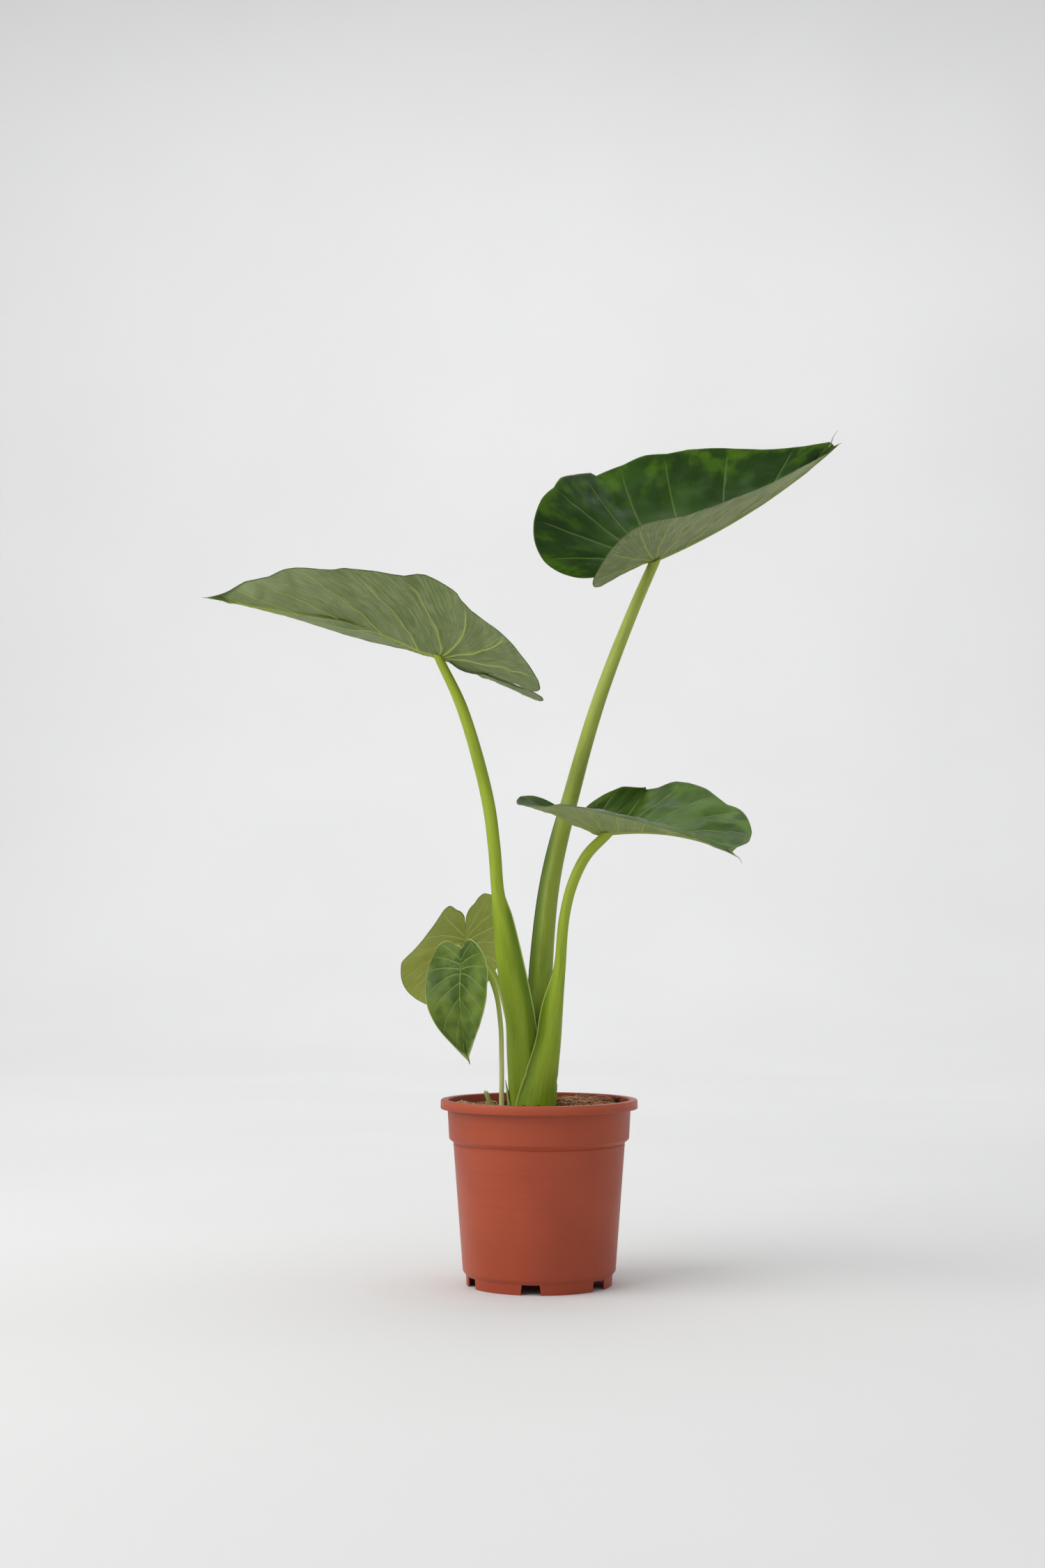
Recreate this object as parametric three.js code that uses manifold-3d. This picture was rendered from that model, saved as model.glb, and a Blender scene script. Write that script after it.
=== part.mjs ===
// Potted alocasia: three large arrow-shaped leaves and two small ones on upright leaf stalks
// that rise from potting soil in a round plastic nursery pot.
// Millimetres, +Z up. The origin is on the pot's axis, on the surface that the pot stands on.
import * as THREE from 'three';
import { mergeVertices } from 'three/addons/utils/BufferGeometryUtils.js';
import Module from 'manifold-3d';

const wasm = await Module();
wasm.setup();

// ---------- driving dimensions ----------

const GAP = 0.3; // clearance between pieces that touch

const POT = {
  rimRadius: 95,
  height: 175.3,
  rimHeight: 8.5, // the turned-down lip
  rimWidth: 7.6, // from the wall's inner face to the lip's outer face
  wall: 1.3,
  lip: 1.5, // thickness of the rim's top and lip
  collarHeight: 36.5, // from the rim's top down to the step
  collarTaper: 2, // how much narrower the collar is at the step than under the rim
  stepIn: 4.1,
  stepHeight: 4.5,
  taper: 9.3, // how much narrower the body is at the foot than under the step
  footHeight: 9.5,
  footInset: 3.1,
  footWall: 1.8,
  floor: 1.6,
  notches: 6,
  notchTop: 14.6,
  notchBottom: 18.3,
  notchTurn: -7, // degrees from the front
  drainRadius: 5.5,
};

const SOIL = {
  below: 9.5, // mean depth of the surface under the rim's top
  bump: 1.6, // height of the broad lumps
  mound: 2.0, // rise towards the stems
  rootDepth: 34, // how far the stalks reach into the soil
};

const BLADE = { thickness: 1.2 };

// Each half of a blade, from the tip round the edge to the notch between the lobes:
// x is a share of the blade's length in front of the stalk and of the lobe's behind it,
// y is a share of the half's width.
const HALF_OUTLINE = [
  [1, 0], [0.93, 0.035], [0.8, 0.25], [0.55, 0.66], [0.25, 0.94], [-0.1, 1],
  [-0.5, 0.95], [-0.85, 0.76], [-1, 0.48], [-0.85, 0.21], [-0.45, 0.06], [0, 0],
];
const SIDE_POINT = 5; // the outline point level with the stalk
const SINUS_POINT = 9; // the edge closes on the notch from here on

// A leaf's root is where its stalk meets the blade: x, y and height above the soil. turn is
// the tip's heading from +X, climb its rise, roll the bank to the left, all in degrees. droop
// and lobeDroop bend the midrib down over the blade and over the lobes; sway and lobeSway
// carry the tip and the lobes to the left. fold is how far a half tilts up from the midrib,
// foldTip and foldLobe what is added towards the tip and the lobe, curl what is added from
// midrib to edge. shoulder widens the half near the tip, and edge lifts the margin at even
// steps.
const LEAVES = {
  leaf_left: {
    root: [-97.4, -20, 436.8], turn: 181.3, climb: 19, roll: 19, stations: 26, strips: 5,
    length: 232, lobe: 106, sinus: 8, droop: 10, lobeDroop: 8, sway: -3, lobeSway: -3.5,
    left: { width: 111.5, fold: 5, foldTip: 7, foldLobe: -15, curl: 5, shoulder: 0.4,
      edge: [6.5, 0, -1.5, -4, -5, -5.5, -6, -6] },
    right: { width: 118, fold: 23, foldTip: 2, foldLobe: 2, curl: 1.5, shoulder: -0.1,
      edge: [0, -1, -3, 5, -0.5, -1, 4.5, 0.5] },
  },
  leaf_top: {
    root: [117.9, 53, 546.1], turn: 15, climb: 24, roll: -4.5, stations: 26, strips: 5,
    length: 245, lobe: 85, sinus: 2, droop: -18, lobeDroop: 22, sway: 2, lobeSway: 5,
    left: { width: 126, fold: 53, foldTip: 8, foldLobe: 29, curl: 27, shoulder: 0.1,
      edge: [6, 4, -2.5, -5, 5, 0.5, 1, -2] },
    right: { width: 115.5, fold: 5.5, foldTip: -5, foldLobe: 9, curl: 2, shoulder: 0.3,
      edge: [1, 1.5, 0, 1, 5.5, 0, -0.5, 0.5] },
  },
  leaf_right: {
    root: [66.1, -8, 265.7], turn: -36.5, climb: 4, roll: -27.5, stations: 26, strips: 5,
    length: 164, lobe: 66.5, sinus: 8.5, droop: 31.5, lobeDroop: -53, sway: -2, lobeSway: -9.5,
    left: { width: 93, fold: 38.5, foldTip: 5, foldLobe: 9, curl: 43.5, shoulder: 0.7,
      edge: [0.5, -2, 0, 1, -2, 4.5, 2, 0.5] },
    right: { width: 83, fold: 3, foldTip: -17.5, foldLobe: -10, curl: -30.5, shoulder: 0.4,
      edge: [0, 0, -0.5, 2.5, 2.5, -7, 3.5, 4] },
  },
  leaf_small_front: {
    root: [-75.1, -42, 129.4], turn: -107.5, climb: -80.5, roll: 20, stations: 20, strips: 4,
    length: 86.5, lobe: 33, sinus: 25.5, droop: 31, lobeDroop: -10, sway: -0.5, lobeSway: 2,
    left: { width: 37, fold: 10.5, foldTip: 6, foldLobe: 20, curl: -12, shoulder: 0,
      edge: [0.5, -0.5, -1.5, 1.5, -1, -0.5, 1, -2] },
    right: { width: 38.5, fold: 8.5, foldTip: 23, foldLobe: -8, curl: -6.5, shoulder: 0,
      edge: [2, -1.5, 1, 0.5, -1.5, 2, -1, -1] },
  },
  leaf_small_back: {
    root: [-74.8, 60, 155.5], turn: 99.5, climb: -62, roll: -18, stations: 20, strips: 4,
    length: 91, lobe: 49.5, sinus: 22.5, droop: -7, lobeDroop: -19, sway: 2, lobeSway: -1.5,
    left: { width: 74, fold: -6, foldTip: 15, foldLobe: -32.5, curl: -8, shoulder: 0,
      edge: [1, 1, -2, 1.5, -1.5, 0.5, 1.5, -3] },
    right: { width: 71, fold: 20, foldTip: 2.5, foldLobe: 14, curl: -4.5, shoulder: 0,
      edge: [2, -1.5, 1, 0.5, -1.5, 1.5, -1.5, 0.5] },
  },
};

// Stalks, from the soil up: x, y, height above the soil, half-width across X, half-depth
// along Y. The widening at the foot is the sheath. Each ends at its own leaf's root.
const STALKS = {
  petiole_top: { leaf: 'leaf_top', tip: 5.2, path: [
    [0, 14, 0, 12, 12], [0.5, 18, 65, 12, 12], [2, 27, 131, 11.5, 11.5],
    [12, 38, 223, 9.8, 9.8], [33, 44, 308, 8.1, 8.1], [61, 48, 403, 6.8, 6.8],
    [98, 51, 492, 5.8, 5.8],
  ] },
  petiole_left: { leaf: 'leaf_left', tip: 4.2, path: [
    [-13, 5, 0, 16, 11], [-15.5, 3, 50, 15.5, 10.5], [-18, 0, 85, 14.5, 9.5],
    [-28.5, -5, 142, 13, 8], [-35, -8, 183, 9.5, 7], [-39.5, -10, 206, 6.4, 6.4],
    [-43.5, -12.5, 253, 6.1, 6.1], [-50, -14.5, 299, 6.1, 6.1], [-74, -18, 385, 5.4, 5.4],
  ] },
  petiole_right: { leaf: 'leaf_right', tip: 4.8, path: [
    [-3, -1, 0, 20, 13], [2, -2, 30, 16.2, 12], [8.5, -3, 62, 12.4, 10],
    [12.8, -4, 97, 10.4, 8.5], [19.6, -5, 133, 5.9, 6], [24.2, -5.5, 182, 5.1, 5.1],
    [32, -6.5, 215, 5.1, 5.1], [46, -7.5, 244, 5.1, 5.1],
  ] },
  petiole_small_front: { leaf: 'leaf_small_front', tip: 1.9, path: [
    [-36, -20, 0, 2.4, 2.4], [-36, -24, 50, 2.3, 2.3], [-37, -28, 83, 2.3, 2.3],
    [-42, -31, 114, 2.3, 2.3], [-52, -33, 134, 2.3, 2.3], [-65, -33, 138, 2.2, 2.2],
  ] },
  petiole_small_back: { leaf: 'leaf_small_back', tip: 2.2, path: [
    [-24, 24, 0, 3.4, 3.4], [-26, 32, 60, 3.1, 3.1], [-41, 43, 122, 2.8, 2.8],
    [-56, 49, 145, 2.7, 2.7],
  ] },
};

// A cut-off stalk and a dry scale leaf at the foot of the stems.
const STUB = { path: [[-45, -19, 0, 2.4, 2.4], [-48, -20, 9, 2.3, 2.3], [-51, -21, 18, 2.1, 2.1]] };
const SCALE = { path: [[-29, 3, 0, 3.4, 9], [-29.5, 2, 14, 3, 7.5], [-29, 2, 27, 1.6, 3]] };

// Loose pieces lying on the soil: half-sizes, and how much of the height is sunk in. Those
// by the stems have x and y; those by the pot's wall have a bearing from +X in degrees and
// their middle's distance in from the soil's edge.
const LOOSE = {
  peat_clump: { bearing: 22, fromEdge: 14.4, size: [13, 9, 6.5], sunk: 0.35, seed: 1 },
  bark_chip_1: { at: [22, -6], size: [5, 3.5, 2.6], sunk: 0.4, seed: 2 },
  bark_chip_2: { bearing: 164, fromEdge: 22, size: [7, 5, 3], sunk: 0.4, seed: 3 },
  bark_chip_3: { at: [12, 50], size: [8, 5, 3.2], sunk: 0.4, seed: 4 },
  coir_tuft_right: { at: [42, 12], size: [17, 10, 4.2], sunk: 0.45, seed: 5 },
  coir_tuft_left: { bearing: 190.5, fromEdge: 20.5, size: [12, 9, 3.8], sunk: 0.45, seed: 6 },
};

const COLOURS = {
  nursery_pot: ['#9c4a34', 0.42],
  potting_soil: ['#3a2a20', 0.95],
  leaf: ['#3c6b2a', 0.4],
  stalk: ['#8fae46', 0.45],
  cut_petiole_stub: ['#b4c07e', 0.6],
  dry_sheath_scale: ['#a9b070', 0.7],
  peat_clump: ['#33221a', 0.95],
  bark_chip: ['#4a2f20', 0.9],
  coir_tuft: ['#a1794d', 0.9],
};

const SOIL_TOP = POT.height - SOIL.below;
const WALL_OUTSIDE = POT.rimRadius - POT.rimWidth + POT.wall; // under the rim

// ---------- solids ----------

// A closed three.js geometry as a solid that can be cut and joined.
function solidOf(geometry) {
  const bare = geometry.clone();
  for (const name of Object.keys(bare.attributes)) {
    if (name !== 'position') bare.deleteAttribute(name);
  }
  const merged = mergeVertices(bare, 1e-4);
  const triangles = [];
  const index = merged.index.array;
  for (let i = 0; i < index.length; i += 3) {
    const [a, b, c] = index.slice(i, i + 3);
    if (a !== b && b !== c && c !== a) triangles.push(a, b, c);
  }
  return new wasm.Manifold(new wasm.Mesh({
    numProp: 3,
    vertProperties: new Float32Array(merged.attributes.position.array),
    triVerts: new Uint32Array(triangles),
  }));
}

function geometryOf(solid) {
  const { numProp, vertProperties, triVerts } = solid.getMesh();
  const positions = [];
  for (let i = 0; i < vertProperties.length; i += numProp) {
    positions.push(...vertProperties.slice(i, i + 3));
  }
  return indexed(positions, Array.from(triVerts));
}

function indexed(positions, triangles) {
  const geometry = new THREE.BufferGeometry();
  geometry.setAttribute('position', new THREE.Float32BufferAttribute(positions, 3));
  geometry.setIndex(triangles);
  geometry.computeVertexNormals();
  return geometry;
}

function lathe(profile, segments) {
  const points = profile.map(([r, z]) => new THREE.Vector2(r, z));
  return new THREE.LatheGeometry(points, segments).rotateX(Math.PI / 2);
}

// ---------- pot ----------

// The wall's outer face, from the top down, as radius and height.
function wallOutside() {
  const underStep = WALL_OUTSIDE - POT.collarTaper - POT.stepIn;
  const step = POT.height - POT.collarHeight;
  return [
    [WALL_OUTSIDE, POT.height - POT.lip],
    [WALL_OUTSIDE - POT.collarTaper, step],
    [underStep, step - POT.stepHeight],
    [underStep - POT.taper, POT.footHeight + 4],
    [underStep - POT.taper - POT.footInset, POT.footHeight],
  ];
}

function wallInside() {
  const floorTop = POT.footHeight + POT.floor;
  return wallOutside().map(([r, z], i) => {
    if (i === 4) return [r - POT.wall, floorTop];
    return [r - POT.wall, i === 3 ? z + POT.wall : z];
  });
}

function potSolid() {
  const outside = wallOutside();
  const inside = wallInside();
  const foot = outside[4][0];
  const top = POT.height;
  const under = top - POT.lip;
  const lipInside = POT.rimRadius - POT.lip;
  const profile = [
    [0, POT.footHeight],
    [foot - POT.footWall, POT.footHeight],
    [foot - POT.footWall, 0],
    [foot - 0.4, 0],
    ...outside.slice(1).reverse(),
    [WALL_OUTSIDE, under],
    [lipInside, under],
    [lipInside, top - POT.rimHeight],
    [POT.rimRadius - 0.4, top - POT.rimHeight],
    [POT.rimRadius, top - POT.rimHeight + 1],
    [POT.rimRadius, top - 1.2],
    [POT.rimRadius - 1, top],
    [WALL_OUTSIDE - POT.wall + 0.6, top],
    [WALL_OUTSIDE - POT.wall, top - 0.8],
    ...inside.slice(1),
    [0, POT.footHeight + POT.floor],
  ];
  let pot = solidOf(lathe(profile, 60));
  for (let i = 0; i < POT.notches; i += 1) {
    pot = pot.subtract(notchCutter(foot, POT.notchTurn + (360 / POT.notches) * i));
  }
  return pot;
}

// A notch in the foot, with the drain hole behind it, turned from the front.
function notchCutter(foot, degrees) {
  const shape = new THREE.Shape([
    new THREE.Vector2(-POT.notchBottom / 2, -1),
    new THREE.Vector2(POT.notchBottom / 2, -1),
    new THREE.Vector2(POT.notchTop / 2, POT.footHeight),
    new THREE.Vector2(-POT.notchTop / 2, POT.footHeight),
  ]);
  const notch = new THREE.ExtrudeGeometry(shape, { depth: 8, bevelEnabled: false });
  notch.rotateX(Math.PI / 2).translate(0, -foot + 6, 0);
  const drain = new THREE.CylinderGeometry(POT.drainRadius, POT.drainRadius, 8, 16);
  drain.rotateX(Math.PI / 2).translate(0, -foot + POT.footWall + 10, POT.footHeight);
  const turn = THREE.MathUtils.degToRad(degrees);
  return solidOf(notch.rotateZ(turn)).add(solidOf(drain.rotateZ(turn)));
}

// ---------- soil ----------

function soilHeight(x, y) {
  const mound = SOIL.mound * Math.exp(-(x * x + y * y) / (2 * 30 * 30));
  const broad = Math.sin(x / 11 + 0.7) * Math.cos(y / 13 + 0.3) + 0.6 * Math.sin((x + 2 * y) / 9);
  return SOIL_TOP + mound + SOIL.bump * 0.6 * broad;
}

// The soil surface's radius, just clear of the wall.
function soilEdge() {
  const [[r0, z0], [r1, z1]] = wallInside();
  return r1 + ((r0 - r1) * (SOIL_TOP - z1)) / (z0 - z1) - GAP;
}

function soilSolid(cutters) {
  const rings = 6;
  const edge = soilEdge();
  const inside = wallInside();
  const profile = [[0, inside[4][1] + GAP], ...inside.slice(1).reverse()
    .map(([r, z], i) => [r - GAP, i === 0 ? z + GAP : z])];
  for (let i = 0; i <= rings; i += 1) profile.push([edge * (1 - i / rings), SOIL_TOP]);
  const geometry = lathe(profile, 36);
  const position = geometry.attributes.position;
  for (let i = 0; i < position.count; i += 1) {
    if (Math.abs(position.getZ(i) - SOIL_TOP) > 1e-3) continue;
    const x = position.getX(i);
    const y = position.getY(i);
    const inner = Math.hypot(x, y) < edge - 1 ? 1 : 0;
    position.setZ(i, SOIL_TOP + inner * (soilHeight(x, y) - SOIL_TOP));
  }
  return cutters.reduce((soil, cutter) => soil.subtract(cutter), solidOf(geometry));
}

// ---------- leaves ----------

function curveThrough(points) {
  return new THREE.SplineCurve(points.map(([x, y]) => new THREE.Vector2(x, y)));
}

// The middle surface of one half: u runs from the tip round the edge to the notch,
// v from the midrib out to the edge.
function halfBlade(leaf, side) {
  const half = leaf[side];
  const sign = side === 'left' ? 1 : -1;
  const outline = curveThrough(HALF_OUTLINE);
  const lifts = [0, ...half.edge, 0];
  const lift = curveThrough(lifts.map((z, i) => [i, z]));
  const last = HALF_OUTLINE.length - 1;
  const sidePoint = SIDE_POINT / last;
  const closing = SINUS_POINT / last;
  const rad = THREE.MathUtils.degToRad;
  const bend = rad(leaf.droop || 1e-4) / leaf.length;
  const lobeBend = rad(leaf.lobeDroop || 1e-4) / leaf.lobe;
  const curl = rad(half.curl || 1e-4);
  return (u, v) => {
    const rim = outline.getPoint(u);
    let rimX = rim.x * (rim.x > 0 ? leaf.length : leaf.lobe);
    rimX -= leaf.sinus * Math.max(0, (u - closing) / (1 - closing));
    const broad = 1 + half.shoulder * Math.exp(-(((u - 0.17) / 0.09) ** 2));
    const rimY = rim.y * half.width * broad;
    const ribX = u < sidePoint ? leaf.length * (1 - u / sidePoint) ** 1.1
      : (-leaf.sinus * (u - sidePoint)) / (1 - sidePoint);
    const along = ribX + (rimX - ribX) * v;
    const across = rimY * v;
    const ahead = Math.max(along, 0);
    const behind = Math.max(-along, 0);
    const toTip = ahead / leaf.length;
    const toLobe = behind / leaf.lobe;
    const fold = rad(half.fold + half.foldTip * toTip + half.foldLobe * toLobe);
    const end = fold + (curl * across) / half.width;
    const radius = half.width / curl;
    const raise = lift.getPoint(u).y * v * v;
    const y = radius * (Math.sin(end) - Math.sin(fold)) - raise * Math.sin(end);
    const z = -radius * (Math.cos(end) - Math.cos(fold)) + raise * Math.cos(end);
    const pitch = lobeBend * behind - bend * ahead;
    const ribPlace = Math.sin(bend * ahead) / bend - Math.sin(lobeBend * behind) / lobeBend;
    const ribDrop = (1 - Math.cos(bend * ahead)) / bend
      + (1 - Math.cos(lobeBend * behind)) / lobeBend;
    return new THREE.Vector3(
      ribPlace - Math.sin(pitch) * z,
      sign * y + leaf.sway * toTip ** 2 + leaf.lobeSway * toLobe ** 2,
      -ribDrop + Math.cos(pitch) * z,
    ).applyMatrix4(placeOf(leaf));
  };
}

function placeOf(leaf) {
  const rad = THREE.MathUtils.degToRad;
  const turned = new THREE.Matrix4().makeRotationZ(rad(leaf.turn));
  turned.multiply(new THREE.Matrix4().makeRotationY(-rad(leaf.climb)));
  turned.multiply(new THREE.Matrix4().makeRotationX(rad(leaf.roll)));
  return turned.setPosition(...rootOf(leaf));
}

function rootOf(leaf) {
  const [x, y, height] = leaf.root;
  return [x, y, SOIL_TOP + height];
}

// The blade's upward direction at the stalk, midway between its two halves.
function upOf(leaf) {
  const left = THREE.MathUtils.degToRad(leaf.left.fold);
  const right = THREE.MathUtils.degToRad(leaf.right.fold);
  const up = new THREE.Vector3(0, Math.sin(right) - Math.sin(left), Math.cos(left) + Math.cos(right));
  return up.normalize().transformDirection(placeOf(leaf));
}

function bladeGeometry(leaf) {
  const points = [];
  const triangles = [];
  const add = (point) => points.push(point) - 1;
  const halves = { left: halfBlade(leaf, 'left'), right: halfBlade(leaf, 'right') };
  const rib = [];
  for (let i = 0; i <= leaf.stations; i += 1) rib.push(add(halves.left(i / leaf.stations, 0)));
  for (const side of ['left', 'right']) {
    const rows = rib.map((ribPoint, i) => {
      const row = [ribPoint];
      const pointed = i === 0 || i === leaf.stations;
      for (let j = 1; j <= leaf.strips; j += 1) {
        const u = i / leaf.stations;
        row.push(pointed ? ribPoint : add(halves[side](u, j / leaf.strips)));
      }
      return row;
    });
    for (let i = 0; i < leaf.stations; i += 1) {
      for (let j = 0; j < leaf.strips; j += 1) {
        const quad = [rows[i][j], rows[i][j + 1], rows[i + 1][j + 1], rows[i + 1][j]];
        if (side === 'right') quad.reverse();
        addTriangle(triangles, quad[0], quad[1], quad[2]);
        addTriangle(triangles, quad[0], quad[2], quad[3]);
      }
    }
  }
  return thicken(points, triangles, BLADE.thickness);
}

function addTriangle(triangles, a, b, c) {
  if (a !== b && b !== c && c !== a) triangles.push(a, b, c);
}

// A closed solid of even thickness about an open sheet.
function thicken(points, triangles, thickness) {
  const sheet = indexed(points.flatMap((p) => p.toArray()), triangles);
  const normals = sheet.attributes.normal;
  const positions = [];
  for (const sign of [1, -1]) {
    points.forEach((point, i) => {
      const normal = new THREE.Vector3().fromBufferAttribute(normals, i);
      positions.push(...point.clone().addScaledVector(normal, (sign * thickness) / 2).toArray());
    });
  }
  const count = points.length;
  const all = [...triangles];
  const uses = new Map();
  for (let i = 0; i < triangles.length; i += 3) {
    const [a, b, c] = triangles.slice(i, i + 3);
    all.push(a + count, c + count, b + count);
    for (const [from, to] of [[a, b], [b, c], [c, a]]) uses.set(`${from},${to}`, [from, to]);
  }
  for (const [from, to] of uses.values()) {
    if (uses.has(`${to},${from}`)) continue;
    all.push(from, from + count, to + count, from, to + count, to);
  }
  return indexed(positions, all);
}

// ---------- stalks ----------

// A closed sweep of an oval along a path of [x, y, z, half-width, half-depth] points. grow
// widens and lengthens it. With an end face, the last ring lies in that plane.
function sweep(path, { rings = 20, sides = 14, grow = 0, endFace = null } = {}) {
  const curve = new THREE.CatmullRomCurve3(path.map(([x, y, z]) => new THREE.Vector3(x, y, z)));
  const sizes = curveThrough(path.map((point) => [point[3], point[4]]));
  const positions = [];
  const triangles = [];
  for (let i = 0; i <= rings; i += 1) {
    const t = i / rings;
    const centre = curve.getPoint(t);
    const tangent = curve.getTangent(t);
    const across = new THREE.Vector3(0, 1, 0).cross(tangent).normalize();
    const depth = tangent.clone().cross(across);
    const size = sizes.getPoint(t);
    if (i === 0) centre.addScaledVector(tangent, -grow);
    if (i === rings) centre.addScaledVector(tangent, grow);
    for (let j = 0; j < sides; j += 1) {
      const angle = (2 * Math.PI * j) / sides;
      const point = centre.clone();
      point.addScaledVector(across, (size.x + grow) * Math.cos(angle));
      point.addScaledVector(depth, (size.y + grow) * Math.sin(angle));
      if (i === rings && endFace) {
        const off = point.clone().sub(centre).dot(endFace) / tangent.dot(endFace);
        point.addScaledVector(tangent, -off);
      }
      positions.push(...point.toArray());
      const next = (j + 1) % sides;
      const low = i * sides;
      if (i < rings) {
        triangles.push(low + j, low + next, low + sides + next);
        triangles.push(low + j, low + sides + next, low + sides + j);
      }
    }
  }
  for (let j = 1; j < sides - 1; j += 1) {
    triangles.push(0, j + 1, j);
    triangles.push(rings * sides, rings * sides + j, rings * sides + j + 1);
  }
  return solidOf(indexed(positions, triangles));
}

// Heights in a path count from the soil; the first point is sunk to the root depth.
function rooted(path, depth) {
  const [foot] = path;
  const lifted = path.map(([x, y, z, ...size]) => [x, y, z + SOIL_TOP, ...size]);
  return [[foot[0], foot[1], SOIL_TOP - depth, foot[3], foot[4]], ...lifted];
}

// A stalk ends square to its leaf's middle, just under the blade.
function stalkSolid(name, grow = 0) {
  const stalk = STALKS[name];
  const leaf = LEAVES[stalk.leaf];
  const up = upOf(leaf);
  const end = new THREE.Vector3(...rootOf(leaf)).addScaledVector(up, -BLADE.thickness / 2 - GAP);
  const path = rooted(stalk.path, SOIL.rootDepth);
  path.push([...end.toArray(), stalk.tip, stalk.tip]);
  const small = stalk.tip < 3;
  return sweep(path, { rings: small ? 18 : 28, sides: small ? 8 : 16, grow, endFace: up });
}

// ---------- loose pieces ----------

// A lumpy oval solid: deterministic bumps from a few sines.
function lumpSolid({ at, bearing, fromEdge, size, sunk, seed }, grow = 0) {
  const out = soilEdge() - fromEdge;
  const turn = THREE.MathUtils.degToRad(bearing);
  const [x, y] = at ?? [out * Math.cos(turn), out * Math.sin(turn)];
  const geometry = new THREE.IcosahedronGeometry(1, 2);
  const position = geometry.attributes.position;
  const height = soilHeight(x, y) + size[2] * (1 - 2 * sunk);
  for (let i = 0; i < position.count; i += 1) {
    const p = new THREE.Vector3().fromBufferAttribute(position, i);
    const bump = 1 + 0.14 * Math.sin(4 * p.x + seed) * Math.cos(3 * p.y - seed)
      + 0.08 * Math.sin(7 * p.z + 2 * seed);
    position.setXYZ(
      i,
      x + p.x * (size[0] * bump + grow),
      y + p.y * (size[1] * bump + grow),
      height + p.z * (size[2] * bump + grow),
    );
  }
  return solidOf(geometry);
}

// ---------- assembly ----------

const plant = new THREE.Group();

function place(name, shape, look = name) {
  const [color, roughness] = COLOURS[look];
  const material = new THREE.MeshStandardMaterial({ color, roughness, metalness: 0 });
  const geometry = shape.isBufferGeometry ? shape : geometryOf(shape);
  const mesh = new THREE.Mesh(geometry, material);
  mesh.name = name;
  plant.add(mesh);
}

place('nursery_pot', potSolid());

// The sheaths nest: the right stalk's wraps the left's, and both wrap the top leaf's stalk.
const top = stalkSolid('petiole_top');
const topRoom = stalkSolid('petiole_top', GAP);
const left = stalkSolid('petiole_left').subtract(topRoom);
const leftRoom = stalkSolid('petiole_left', GAP);
const right = stalkSolid('petiole_right').subtract(leftRoom).subtract(topRoom);
const rightRoom = stalkSolid('petiole_right', GAP);
place('petiole_top', top, 'stalk');
place('petiole_left', left, 'stalk');
place('petiole_right', right, 'stalk');

const stubPath = rooted(STUB.path, SOIL.rootDepth / 2);
const scalePath = rooted(SCALE.path, SOIL.rootDepth / 2);
const scale = sweep(scalePath, { rings: 8, sides: 12 }).subtract(leftRoom).subtract(rightRoom);
const rooms = [
  topRoom,
  leftRoom,
  rightRoom,
  sweep(stubPath, { rings: 8, sides: 8, grow: GAP }),
  sweep(scalePath, { rings: 8, sides: 12, grow: GAP }),
];
for (const name of ['petiole_small_front', 'petiole_small_back']) {
  place(name, stalkSolid(name), 'stalk');
  rooms.push(stalkSolid(name, GAP));
}
place('cut_petiole_stub', sweep(stubPath, { rings: 8, sides: 8 }));
place('dry_sheath_scale', scale);

for (const [name, piece] of Object.entries(LOOSE)) {
  const lump = rooms.reduce((solid, room) => solid.subtract(room), lumpSolid(piece));
  place(name, lump, name.replace(/_(\d+|left|right)$/, ''));
  rooms.push(lumpSolid(piece, GAP));
}
place('potting_soil', soilSolid(rooms));

for (const [name, leaf] of Object.entries(LEAVES)) place(name, bladeGeometry(leaf), 'leaf');

export default plant;
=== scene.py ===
import math
import random

import bmesh
import bpy
import numpy as np
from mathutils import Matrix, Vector, noise


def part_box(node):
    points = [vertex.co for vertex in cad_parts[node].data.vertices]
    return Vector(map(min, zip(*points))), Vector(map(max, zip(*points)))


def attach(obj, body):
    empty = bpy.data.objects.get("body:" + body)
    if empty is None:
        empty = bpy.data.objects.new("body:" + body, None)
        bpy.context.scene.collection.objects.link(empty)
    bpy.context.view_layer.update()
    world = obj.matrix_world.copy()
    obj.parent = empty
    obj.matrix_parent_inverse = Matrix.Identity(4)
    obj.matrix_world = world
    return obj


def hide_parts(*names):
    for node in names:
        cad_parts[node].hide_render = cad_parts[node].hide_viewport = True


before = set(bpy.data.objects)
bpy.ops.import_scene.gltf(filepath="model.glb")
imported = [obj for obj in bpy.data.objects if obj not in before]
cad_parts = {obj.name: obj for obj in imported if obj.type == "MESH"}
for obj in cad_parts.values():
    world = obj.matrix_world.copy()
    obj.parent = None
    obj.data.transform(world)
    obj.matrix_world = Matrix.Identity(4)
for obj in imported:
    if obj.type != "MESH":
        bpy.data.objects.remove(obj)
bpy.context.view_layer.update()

# Shapes are worked out in millimetres, in the frame's axes, and become metres in add_mesh().
MM = 0.001
DEG = math.pi / 180
BODY = "root"


def box_mm(node):
    lo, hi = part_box(node)
    return np.array(lo) / MM, np.array(hi) / MM


POT_LO, POT_HI = box_mm("nursery_pot")
AXIS = (POT_LO + POT_HI)[:2] / 2
POT_TOP = POT_HI[2]
RIM = (POT_HI[0] - POT_LO[0]) / 2
SOIL_BELOW = 9.5
SOIL_TOP = POT_TOP - SOIL_BELOW

# ---------- pieces ----------


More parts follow.
